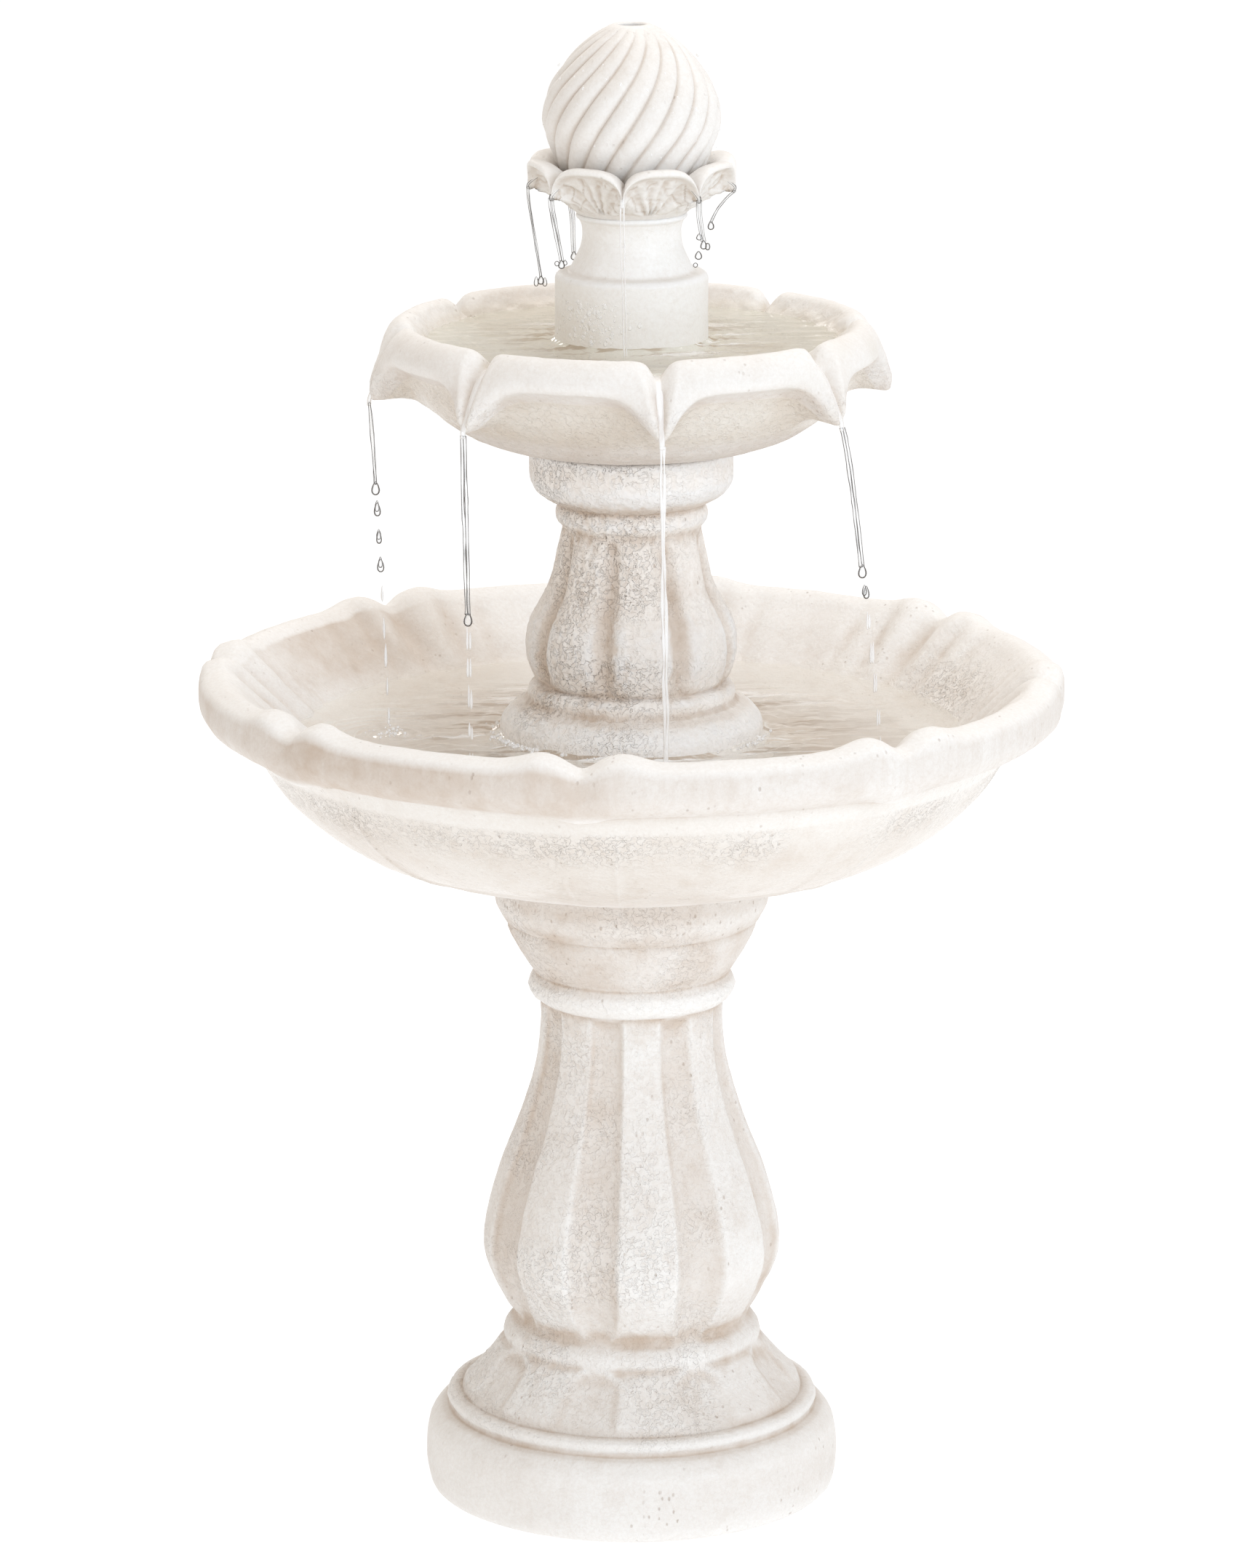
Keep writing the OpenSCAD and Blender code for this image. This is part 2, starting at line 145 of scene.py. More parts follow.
class Nodes:
    """Short forms for building one material's node tree. A socket takes a number, a colour or
    another node's output."""

    def __init__(self, name):
        self.material = bpy.data.materials.new(name)
        self.material.use_nodes = True
        self.tree = self.material.node_tree
        self.shader = self.tree.nodes["Principled BSDF"]
        self.place = self.add("TexCoord").outputs["Object"]

    def put(self, socket, value):
        if isinstance(value, bpy.types.NodeSocket):
            self.tree.links.new(value, socket)
        else:
            socket.default_value = (*value, 1) if socket.type == "RGBA" else value

    def add(self, kind, sockets=None, **values):
        """A node with values for its settings, and for its sockets by name or number."""
        node = self.tree.nodes.new("ShaderNode" + kind)
        for key, value in values.items():
            setattr(node, key, value)
        for key, value in (sockets or {}).items():
            self.put(node.inputs[key], value)
        return node

    def set(self, **values):
        """Sets the shader's own sockets, with _ for each space in their names."""
        for key, value in values.items():
            self.put(self.shader.inputs[key.replace("_", " ")], value)

    def stretched(self, stretch):
        if stretch is None:
            return self.place
        return self.add("Mapping", {"Vector": self.place, "Scale": stretch}).outputs["Vector"]

    def noise(self, scale, detail, roughness=0.55, stretch=None):
        sockets = {"Vector": self.stretched(stretch), "Scale": scale}
        sockets.update(Detail=detail, Roughness=roughness)
        return self.add("TexNoise", sockets).outputs["Fac"]

    def cells(self, scale, stretch):
        """Distance from the middle of scattered cells, and a random number for each cell."""
        node = self.add("TexVoronoi", {"Vector": self.stretched(stretch), "Scale": scale})
        return node.outputs["Distance"], node.outputs["Color"]

    def height(self):
        return self.add("SeparateXYZ", {0: self.place}).outputs["Z"]

    def attribute(self, name):
        return self.add("Attribute", attribute_name=name).outputs["Fac"]

    def ramp(self, value, *ends):
        """The value carried from the first two ends to the last two, which are 0 and 1 if left out."""
        sockets = dict(zip(("Value", "From Min", "From Max", "To Min", "To Max"), (value, *ends)))
        return self.add("MapRange", sockets, clamp=True).outputs["Result"]

    def maths(self, operation, a, b):
        return self.add("Math", {0: a, 1: b}, operation=operation).outputs[0]

    def most(self, a, b):
        return self.maths("MAXIMUM", a, b)

    def times(self, value, *others):
        for other in others:
            value = self.maths("MULTIPLY", value, other)
        return value

    def mix(self, factor, a, b):
        return self.add("Mix", {0: factor, 6: a, 7: b}, data_type="RGBA").outputs[2]

    def bump(self, *layers):
        """Bump layers of (height, strength, distance in metres), one on top of the other. A
        negative strength cuts in."""
        below = {}
        for height, strength, distance in layers:
            sockets = {"Height": height, "Strength": abs(strength), "Distance": distance, **below}
            below = {"Normal": self.add("Bump", sockets, invert=strength < 0).outputs["Normal"]}
        self.set(**below)

    def let_light_through(self, tint):
        """Makes the material clear, with a tint, to light on its way to what lies behind."""
        path = self.add("LightPath")
        either = self.most(path.outputs["Is Shadow Ray"], path.outputs["Is Diffuse Ray"])
        clear = self.add("BsdfTransparent", {"Color": tint})
        mix = self.add("MixShader", {0: either, 1: self.shader.outputs[0], 2: clear.outputs[0]})
        self.put(self.tree.nodes["Material Output"].inputs["Surface"], mix.outputs[0])


def stone_material(name, ivory, taupe, pits, damp=0.5, pitted=None, stain=0.9, groove_shade=0.12):
    """Cast stone: ivory with fine pits, creases, flakes and grit, after the mesh's shares. Taupe is
    painted into the hollows, creases, dents and grooves as painted shade, along with stains, and
    edges and some faces are painted lighter as painted light. Pits is how deep they are, damp how
    much wet stone darkens, and pitted gives two heights in metres between which open pits begin.
    Of the last two settings, the first is how strong the taupe of painted shade and stains is, and
    the second how much painted shade shows along the wrinkles' fine grooves."""
    n = Nodes(name)
    crinkle, banded, wet = n.attribute("crinkle"), n.attribute("streak"), n.attribute("wet")
    blotch, grain, peel = n.noise(38, 4, 0.65), n.noise(420, 3, 0.6), n.noise(230, 3, 0.6)
    wrinkle = n.maths("ABSOLUTE", n.maths("SUBTRACT", n.noise(150, 3, 0.55), 0.5), 0.0)
    # The creases, the dents and the wrinkles' fine grooves are darkened with taupe below: painted shade
    # where the bumps would shade themselves.
    crease = n.times(n.ramp(wrinkle, 0.03, 0.0), n.ramp(n.noise(70, 2), 0.42, 0.55), crinkle)
    dents = n.times(n.ramp(peel, 0.47, 0.34), crinkle)
    flakes = n.times(n.ramp(peel, 0.45, 0.51), crinkle)
    streak = n.times(n.ramp(n.noise(110, 4, 0.7, (1, 1, 0.12)), 0.45, 0.7), banded)
    # Lighter on convex edges, but not on the band, and where the mesh's last share says: painted
    # highlights and painted light.
    edge = n.times(n.ramp(n.attribute("edge"), 0.25, 0.8), n.ramp(banded, 0, 1, 1, 0))
    painted_highlights = n.most(edge, n.attribute("clean"))
    # Taupe in the mesh's hollows is painted shade; the mesh's second share adds stains and more painted
    # shade.
    hollow = n.most(n.ramp(n.attribute("hollow"), 0.08, 0.9), n.attribute("stain"))
    hollow_shade_and_stain = n.times(hollow, n.ramp(blotch, 0.3, 0.65, 0.5 * stain, stain))
    spread = n.ramp(n.noise(24, 3), 0.5, 0.62)
    if pitted:
        spread = n.most(spread, n.ramp(n.height(), *pitted))
    distance, chance = n.cells(290, (1, 1, 0.6))
    hole = n.times(n.ramp(distance, 0.30, 0.16), n.ramp(chance, 0.66, 0.76), spread)

    middle = tuple(0.5 * (a + b) for a, b in zip(ivory, taupe))
    colour = ivory
    # Layers: random tone, painted shade in the hollows with stains, streaks, painted shade in grooves,
    # creases and dents, painted highlights, grain, pits and wet.
    for share, layer in (
        (n.ramp(n.noise(8, 5, 0.62), 0.38, 0.68, 0.0, 0.5), middle),
        (n.ramp(blotch, 0.54, 0.72, 0.0, 0.45), middle),
        (hollow_shade_and_stain, taupe),
        (n.times(streak, 0.16), taupe),
        (n.ramp(wrinkle, 0.035, 0.0, 0.0, groove_shade), taupe),
        (n.times(crease, 0.22), taupe),
        (n.times(dents, 0.32), taupe),
        (n.times(painted_highlights, 0.75), tuple(min(0.93, 1.045 * c) for c in ivory)),
        (n.ramp(grain, 0.35, 0.65, 0.0, 0.12), taupe),
        (n.times(hole, 0.55 * pits), PIT_BROWN),
        (n.times(wet, damp), SOAKED),
    ):
        colour = n.mix(share, colour, layer)
    n.set(Base_Color=colour, Roughness=n.ramp(wet, 0, 1, 0.8, 0.26), Specular_IOR_Level=0.4)
    n.bump(
        (n.noise(75, 5, 0.6), 0.4, 0.0018),
        (wrinkle, 0.5 * pits, 0.002),
        (flakes, 1.0, 0.0009 * pits),
        (crease, -0.5, 0.0005),
        (grain, 0.35, 0.0005),
        (hole, -0.5, 0.0007),
    )
    return n.material


def water_material(name, colour, tint):
    """Clear water that lets the lamps' light through to the stone under it with a tint. Where the
    mesh's ripple share says, it has long dark ripples, painted reflections of the stone about it,
    and bright ones, painted glints."""
    n = Nodes(name)
    ripple = n.attribute("ripple")
    # Dark brown ripples are painted reflections of the stone, and white ones painted glints, where
    # there is less clear water.
    dark = n.times(n.ramp(n.noise(75, 3, 0.6, (0.24, 1, 1)), 0.52, 0.57), ripple)
    painted_glint = n.times(n.ramp(n.noise(64, 3, 0.6, (0.2, 1, 1.3)), 0.6, 0.64), ripple)
    n.set(
        Base_Color=n.mix(painted_glint, n.mix(dark, colour, (0.50, 0.40, 0.31)), (1.0, 1.0, 1.0)),
        Transmission_Weight=n.ramp(painted_glint, 0, 1, 0.86, 0.3),
        Roughness=0.02,
        IOR=WATER_IOR,
    )
    n.let_light_through(tint)
    n.bump((n.noise(55, 2, 0.5, (0.6, 1, 0.3)), 0.15, 0.001))
    return n.material


def thin_water_material(name, painted_edge_colour, body):
    """Falling water: nearly clear in the middle, with a faint white there and edges in the edge colour,
    which are painted reflections and highlights. Body is how solid the middle looks."""
    n = Nodes(name)
    edge = n.ramp(n.add("LayerWeight", {"Blend": 0.5}).outputs["Facing"], 0.12, 0.36)
    n.set(
        Base_Color=n.mix(edge, (0.98, 0.99, 1.0), painted_edge_colour),
        Alpha=n.ramp(edge, 0, 1, body, 0.92),
        Roughness=0.04,
        IOR=WATER_IOR,
    )
    n.let_light_through((1, 1, 1))
    n.bump((n.noise(180, 2, 0.5), 0.1, 0.0006))
    return n.material


# ---------------------------------------------------------------- numbers


def hashed(ix, iy, iz, seed):
    """Repeatable random number from 0 to 1 for each lattice point."""
    h = (ix * 374761393 + iy * 668265263 + iz * 1442695041 + seed * 974634777) & 0xFFFFFFFF
    h = ((h ^ (h >> 13)) * 1274126177) & 0xFFFFFFFF
    return ((h ^ (h >> 16)) & 0xFFFFFF) / float(0xFFFFFF)


def value_noise(points, size, seed):
    """Smooth noise from -1 to 1 with bumps about size across."""
    p = points / size
    cell = np.floor(p).astype(np.int64)
    t = p - cell
    t = t * t * (3 - 2 * t)
    total = 0
    for corner in np.ndindex(2, 2, 2):
        a, b, c = np.moveaxis(np.where(corner, t, 1 - t), -1, 0)
        total = total + a * b * c * hashed(*np.moveaxis(cell + corner, -1, 0), seed)
    return 2 * total - 1


def rough(points, size, seed, octaves):
    """Noise with finer noise on top, each octave half as wide and half as strong as the last."""
    total, amount = 0, 1.0
    for k in range(octaves):
        total = total + amount * value_noise(points + 17.3 * k, size / 2**k, seed + k)
        amount *= 0.5
    return total


def smooth(rows, spacing, fine):
    """Curve through the outline's points, sampled about every spacing millimetres. Short rows are
    filled up with zeros. The curve bends tightly where a short step meets a long one. Outside the
    fine range of rows, where nobody looks, the samples lie five times as far apart."""
    width = max(len(row) for row in rows)
    points = np.array([row + [0] * (width - len(row)) for row in rows], float)
    gaps = np.hypot(*np.diff(points[:, :2], axis=0).T)
    shares = np.minimum(gaps[:-1], gaps[1:]) / (gaps[:-1] + gaps[1:])
    turns = 0.5 * np.gradient(points, axis=0)
    turns[1:-1] = (points[2:] - points[:-2]) * shares[:, None]
    made = []
    for k, gap in enumerate(gaps):
        b, c, start, end = points[k], points[k + 1], turns[k], turns[k + 1]
        apart = spacing * (5 if fine and not fine[0] <= k < fine[1] else 1)
        count = max(1, round(float(gap) / apart))
        t = (np.arange(count) / count)[:, None]
        made.append(
            b + start * t + (3 * (c - b) - 2 * start - end) * t**2
            + (2 * (b - c) + start + end) * t**3
        )
    made.append(points[-1:])
    return np.concatenate(made)


def wrap(angle):
    """Degrees from the nearest multiple of the pitch."""
    return angle - PITCH * np.round(angle / PITCH)


def from_valley(angle):
    """Degrees from the nearest line midway between two multiples of the pitch."""
    return PITCH / 2 - np.abs(wrap(angle))


def peak(angle, width):
    """1 at the angle, falling away over about width degrees; a width of 0 gives none."""
    return np.exp(-((np.abs(angle) / np.maximum(width, 0.1)) ** 1.6)) * (width > 0)


def bell(x, width):
    return np.exp(-((x / width) ** 2))


def bells(x, *rows):
    """Sum of bells, from rows of height, middle and width."""
    return sum(height * bell(x - middle, width) for height, middle, width in rows)


def step(x, low_edge, high_edge):
    """0 below the low edge, 1 above the high one, smooth between."""
    t = np.clip((x - low_edge) / (high_edge - low_edge), 0, 1)
    return t * t * (3 - 2 * t)


def fall(x, low_edge, high_edge):
    """1 below the low edge, 0 above the high one, smooth between."""
    return step(-x, -high_edge, -low_edge)


def patches(points, size, seed, low_edge, high_edge):
    """Soft patches about size across: 0 where the noise is under the low edge, 1 over the high."""
    return step(value_noise(points, size, seed), low_edge, high_edge)


def around(radius, height, angle):
    a = np.radians(angle)
    return radius * np.cos(a), radius * np.sin(a), height + 0 * a


# ---------------------------------------------------------------- meshes


def normals_of(grid):
    """Outward normals of a grid of rings that run up the outside and down the inside."""
    across = np.roll(grid, -1, 1) - np.roll(grid, 1, 1)
    along = np.roll(grid, -1, 0) - np.roll(grid, 1, 0)
    n = np.cross(across, along)
    return n / np.maximum(np.linalg.norm(n, axis=2, keepdims=True), 1e-9)


def hollows_of(grid, normals, reaches):
    """How deep each point lies below its surroundings: 1 in a groove, 0 on a flat, -1 on an edge."""
    depth = 0
    for reach in reaches:
        near = [np.roll(grid, s * reach, axis) for s in (-1, 1) for axis in (0, 1)]
        away = sum(np.linalg.norm(g - grid, axis=2) for g in near) / 4
        depth = depth + ((sum(near) / 4 - grid) * normals).sum(2) / np.maximum(away, 0.3)
    return 1.1 * depth


def mesh_object(name, points, faces, material, attributes=None):
    """Makes a smooth-shaded object from points in millimetres and arrays of quads or triangles."""
    mesh = bpy.data.meshes.new(name)
    corners = np.concatenate([f.ravel() for f in faces])
    sizes = np.concatenate([np.full(len(f), f.shape[1]) for f in faces])
    mesh.vertices.add(len(points))
    mesh.vertices.foreach_set("co", (points * MM).astype(np.float32).ravel())
    mesh.loops.add(len(corners))
    mesh.loops.foreach_set("vertex_index", corners.astype(np.int32))
    mesh.polygons.add(len(sizes))
    mesh.polygons.foreach_set("loop_start", (np.cumsum(sizes) - sizes).astype(np.int32))
    mesh.update(calc_edges=True)
    mesh.polygons.foreach_set("use_smooth", np.ones(len(sizes), bool))
    for key, values in (attributes or {}).items():
        layer = mesh.attributes.new(key, "FLOAT", "POINT")
        layer.data.foreach_set("value", values.astype(np.float32).ravel())
    mesh.materials.append(material)
    piece = bpy.data.objects.new(name, mesh)
    bpy.context.scene.collection.objects.link(piece)
    return piece


def grid_faces(rings, count, closed=True):
    """Quads between rings of count points; closed joins the last ring to the first."""
    k = np.arange(rings if closed else rings - 1)[:, None]
    i = np.arange(count)[None, :]
    up, right = (k + 1) % rings, (i + 1) % count
    quads = np.stack([k * count + i, k * count + right, up * count + right, up * count + i], -1)
    return quads.reshape(-1, 4)


def pole_faces(ring, pole, count, upward):
    """Triangles from a ring's points to one point on the axis."""
    i = np.arange(count)
    right = (i + 1) % count
    pair = (ring * count + i, ring * count + right)
    first, second = pair if upward else pair[::-1]
    return np.stack([first, second, np.full(count, pole)], -1)


def capped(grid, ends, flip=False):
    """Points and faces of a grid of rings whose first and last rings close on two end points."""
    rings, count = grid.shape[:2]
    points = np.concatenate([grid.reshape(-1, 3), ends])
    faces = [
        grid_faces(rings, count, False),
        pole_faces(0, len(points) - 2, count, False),
        pole_faces(rings - 1, len(points) - 1, count, True),
    ]
    return points, [f[:, ::-1] for f in faces] if flip else faces


def casting(name, body, outline, place, count, material, relief, marks, spacing, poles=False,
            bunch=0.0, fine=None, reaches=(1, 2, 4, 7)):
    """A closed shell of stone: the outline's rows are placed at count angles, moved out by the
    relief and joined up. Place, relief and marks are given the outline's columns. Marks gives the
    shares of the stone's look that are not 0. Spacing and fine are as in smooth. With poles,
    the first and last rows close on the axis, as on a solid floor. Bunch draws the angles
    together at the multiples of the pitch, where the notches are. Reaches are how many steps
    across the hollows and edges are that the stone's look shows."""
    rows = smooth(outline, spacing, fine)
    columns = [rows[:, k:k + 1] for k in range(rows.shape[1])]
    angle = np.arange(count)[None, :] * 360 / count
    angle = angle - bunch * PITCH / (2 * np.pi) * np.sin(2 * np.pi * angle / PITCH)
    bare = np.stack(np.broadcast_arrays(*place(angle, *columns)), -1)
    grid = bare + normals_of(bare) * relief(bare, angle, *columns)[..., None]
    depth = hollows_of(grid, normals_of(grid), reaches)
    layers = {"hollow": depth, "edge": -depth, **dict.fromkeys(SHARES, 0)}
    layers.update(marks(bare, angle, *columns))
    points, faces = grid.reshape(-1, 3), [grid_faces(len(rows), count)]
    if poles:
        points, faces = capped(grid, [[0, 0, rows[0, 1]], [0, 0, rows[-1, 1]]])
    everywhere = np.ones(grid.shape[:2])
    rest = np.zeros(len(points) - everywhere.size)
    layers = {key: np.append(np.clip(value * everywhere, 0, 1), rest) for key, value in layers.items()}
    piece = mesh_object(name + "_cast", points, faces, material, layers)
    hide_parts(name)
    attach(piece, body)


# ---------------------------------------------------------------- castings

# Of these, the second holds stains with painted shade and the last painted light.
SHARES = ("wet", "stain", "crinkle", "streak", "clean")    # of the stone's look, from 0 to 1


def gentle(points, seed, amount):
    """Slight waviness and grain of a casting's skin."""
    return amount * (0.35 * rough(points, 26, seed, 2) + 0.16 * rough(points, 6.5, seed + 5, 2))


def hammered(points, seed):
    """Rough, pitted skin of small ridges."""
    ridged = 1 - 2 * np.abs(value_noise(points * (1, 1, 0.8), 3.8, seed))
    uneven = 0.6 + 0.4 * value_noise(points, 17, seed + 3)
    return 0.55 * ridged * uneven + 0.25 * rough(points, 9, seed + 9, 3)


def make_pedestal(stone):
    """Rows hold radius, height and the share of the flutes' depth."""
    top, arch_radius = high("pedestal").z, 11.0
    outline = [
        [118, 0], [131, 0], [136.5, 4], [139, 16], [139, 32], [137, 45], [132, 53], [127.5, 56],
        [124.4, 56.9], [123.6, 59], [125.3, 62.5], [123.8, 66], [119.4, 67.6], [115.2, 67.4],
        [114.4, 69.5], [112.6, 74, 0.9], [104, 83, 1], [95.5, 93, 1], [90, 100, 0.55], [86.5, 104],
        [87, 108], [86, 112], [83.5, 115.5], [80.5, 118.5], [78.8, 121.5], [80, 125, 0.35],
        [84.5, 131, 0.6], [92.5, 146, 0.9], [98.5, 161, 1], [100, 173, 1], [98.5, 187, 1],
        [94.5, 205, 1], [87, 229, 1], [77, 254, 1], [68.5, 280, 1], [63, 304, 1], [61, 326, 1],
        [61.2, 337, 0.9], [61.5, 341], [66, 344], [69.5, 351], [66.5, 358.5], [65.5, 361],
        [74, 374], [81.5, 388], [83, 392], [83, 396.3], [85.5, 397.8], [91, 408], [92, 418],
        [92, top - 2], [90, top], [54, top], [54, 412], [46, 400], [46, 300], [52, 275], [70, 225],
        [82, 185], [80, 150], [66, 125], [66, 110], [76, 88], [100, 62], [118, 50], [118, 3],
    ]

    def place(angle, r, h, share):
        share = np.clip(share, 0, 1)
        width = PITCH / 4 * np.sqrt(np.clip(1.1 * share, 1e-4, 1))
        u = np.clip(from_valley(angle) / width, 0, 1)
        full = np.where(h > 110, 7.6 * np.clip(r / 92, 0.6, 1), 5.0)
        depth = full * np.clip(1.2 * share, 0, 1) * (1 - u**2.6)
        x, y, z = around(r - depth, h, angle)
        arch = np.sqrt(np.clip(arch_radius**2 - x**2, 0, None)) * (y > 0)
        return x, y, np.maximum(np.maximum(z, 0), arch)

    def relief(points, angle, r, h, share):
        dents = np.clip(value_noise(points * (1, 1, 0.7), 9, 14) - 0.35, 0, 1)
        dents = dents * patches(points, 60, 15, -0.1, 0.4)
        return (gentle(points, 11, 1.15) - 1.1 * dents) * step(points[..., 2], 0.2, 4)

    def marks(points, angle, r, h, share):
        x, z, v = points[..., 0], points[..., 2], from_valley(angle)
        share = np.clip(share, 0, 1)
        # Taupe inside the flutes, along their edges and in the ring grooves is painted shade; on the
        # neck under the basin it is the basin's painted shadow.
        flute = share * step(PITCH / 4 - v, 0.2, 2.5) * (0.12 + 0.3 * step(z, 105, 115))
        neck_shadow = step(z, 360, 366) * (0.34 + 0.35 * patches(points, 32, 20, -0.2, 0.6))
        edge = share * bell(v - PITCH / 4 + 1.5, 1.8)
        edge = edge * patches(points * (1, 1, 0.4), 40, 17, -0.3, 0.5)
        rings = bells(z, (0.45, 361, 5), (0.4, 122, 5), (0.6, 68.5, 1.6), (0.5, 57, 1.6))
        rings = rings + 0.35 * bell(z - 396, 3) * patches(points, 30, 19, -0.3, 0.5)
        rub = 0.22 + 0.3 * patches(points, 34, 18, -0.4, 0.5)
        return {
            "stain": 0.45 * edge + flute + rings + neck_shadow,
            "crinkle": rub * step(h, 50, 72) * (0.3 + 0.7 * fall(x, 10, 80)),
            # The plinth's foot is painted lighter: painted light.
            "clean": 0.8 * fall(z, 46, 54) * patches(points, 70, 21, -0.5, 0.4),
        }

    casting("pedestal", "pedestal", outline, place, 480, stone, relief, marks, 3.3, fine=(0, 52))


def make_basin(stone):
    """Rows hold radius, height, and shares of the fold's height, of its ribs inside (below 0) or
    furrow outside, and of the tongue under it."""
    boss_bottom = BASIN_BOTTOM - BOSS
    outline = [
        [5, boss_bottom], [50, boss_bottom], [52, boss_bottom + 2], [52, BASIN_BOTTOM],
        [98, BASIN_BOTTOM], [125, 437], [156, 443.5], [186, 455], [212, 471], [233, 491],
        [248, 513], [254.5, 526, 0, 0, 0.5], [257.5, 530.8, 0, 0.1, 1], [263, 531.6, 0, 0.2, 1],
        [273, 532.4, 0, 0.4, 1], [281.5, 537, 0, 0.7, 0.6], [286, 544, 0, 0.9, 0.2],
        [287, 551, 0.3, 1], [286.4, 558.5, 0.7, 1], [285, 562.2, 0.9, 0.9], [282.6, 564.3, 1, 0.8],
        [278, 566, 1, 0.6], [271.5, 567.6, 1, 0.2], [265, 564.5, 0.9, -0.5], [256, 556.5, 0.6, -0.9],
        [245, 546.5, 0.35, -1], [231, 534.5, 0.15, -0.75], [212, 518, 0, -0.35], [184, 494],
        [152, 470], [124, BASIN_FLOOR], [90, BASIN_FLOOR], [5, BASIN_FLOOR],
    ]
    splashed, shaded = 13, 140    # bearings from +X of a wet patch and a dark one on the wall

    def place(angle, r, h, fold, side, tongue):
        near = np.abs(wrap(angle))
        folds = bells(near, (1, 5.6, 3.4), (-0.85, 0, 2.1))
        ribs = bells(near, (1, 4.6, 2.0), (0.65, 10.8, 1.9), (0.3, 16.5, 1.8),
                     (-1.15, 0, 1.7), (-0.5, 7.8, 1.2), (-0.35, 13.8, 1.4))
        furrow = bells(near, (0.7, 6, 3.4), (-2.4, 0, 2.0))
        push = np.where(side > 0, side * furrow, side * 4.2 * ribs)
        tongue = tongue * bell(near, 3.8)
        height = h + 5.5 * fold * folds - 4.6 * tongue
        return around(r + push + 1.6 * tongue, height, angle + BASIN_TURN)

    def below(z, side, tongue):
        """Share of the underside between the foot and the rim's band."""
        return step(z, 441, 452) * fall(z, 522, 527) * (tongue < 0.5) * (side == 0)

    def beside(points, bearing, width):
        return bell(np.degrees(np.arctan2(points[..., 1], points[..., 0])) - bearing, width)

    def relief(points, angle, r, h, fold, side, tongue):
        z, t = points[..., 2], wrap(angle)
        wall = step(z, 520, 545) * fall(np.abs(r - 245), 10, 25)
        crumpled = (side <= 0) * bell(z - BASIN_WATER - 10, 17) * beside(points, splashed, 15)
        panel = 0.8 * (step(t, -4.8, -4.2) - step(t, 4.2, 4.8)) + 0.7 * bell(t - 4.3, 0.45)
        skin = gentle(points, 31, 1.1) + 0.35 * wall * rough(points, 13, 77, 3)
        return skin + 0.7 * crumpled * rough(points, 7, 78, 2) + panel * below(z, side, tongue)

    def marks(points, angle, r, h, fold, side, tongue):
        x, z, t = points[..., 0], points[..., 2], wrap(angle)
        inner = (side <= 0) * (r < 262) * step(z, BASIN_FLOOR - 8, BASIN_FLOOR - 2)
        line = BASIN_WATER + 3 + 3 * value_noise(points, 40, 5)
        # The outer band is taupe, most on the left away from the key light: painted shade, with
        # streaks.
        band = step(side, 0.15, 0.5) * fall(h, 561, 563) * step(z, 528, 535)
        # The lip's top and the inner slope are painted lighter: painted light.
        lip = step(h, 561, 564) + 0.7 * (side <= 0) * step(r, 232, 258)
        patch = patches(points * (1, 1, 0.6), 95, 36, -0.25, 0.35)
        left = 0.15 + 0.85 * fall(x, -230, 110)
        # Dark lines in the inner folds are painted shade.
        ribs = np.clip(-side, 0, 1) * (0.55 * bell(t, 2.2) + 0.35 * bell(np.abs(t) - 7.8, 1.6))
        shade = 0.75 * inner * beside(points, shaded, 17) * step(z, 520, 540)
        splash = (side <= 0) * bell(z - BASIN_WATER - 10, 16) * step(z, 515, 524)
        splash = splash * beside(points, splashed, 14)
        # The underside gets a little taupe as painted shade.
        under = below(z, side, tongue)
        return {
            "wet": np.maximum(inner * fall(z, line - 2, line + 3), 0.8 * splash),
            "stain": band * (0.45 + 0.5 * patch) * left + ribs + 0.36 * under + shade + 0.3 * splash,
            "crinkle": 0.8 * bell(z - 508, 17) * under * (0.6 + value_noise(points, 45, 34)) + splash,
            "streak": band,
            "clean": lip - shade - ribs,
        }

    casting("lower_basin", "basin", outline, place, 560, stone, relief, marks, 2.7, poles=True,
            bunch=0.45, fine=(4, 28))


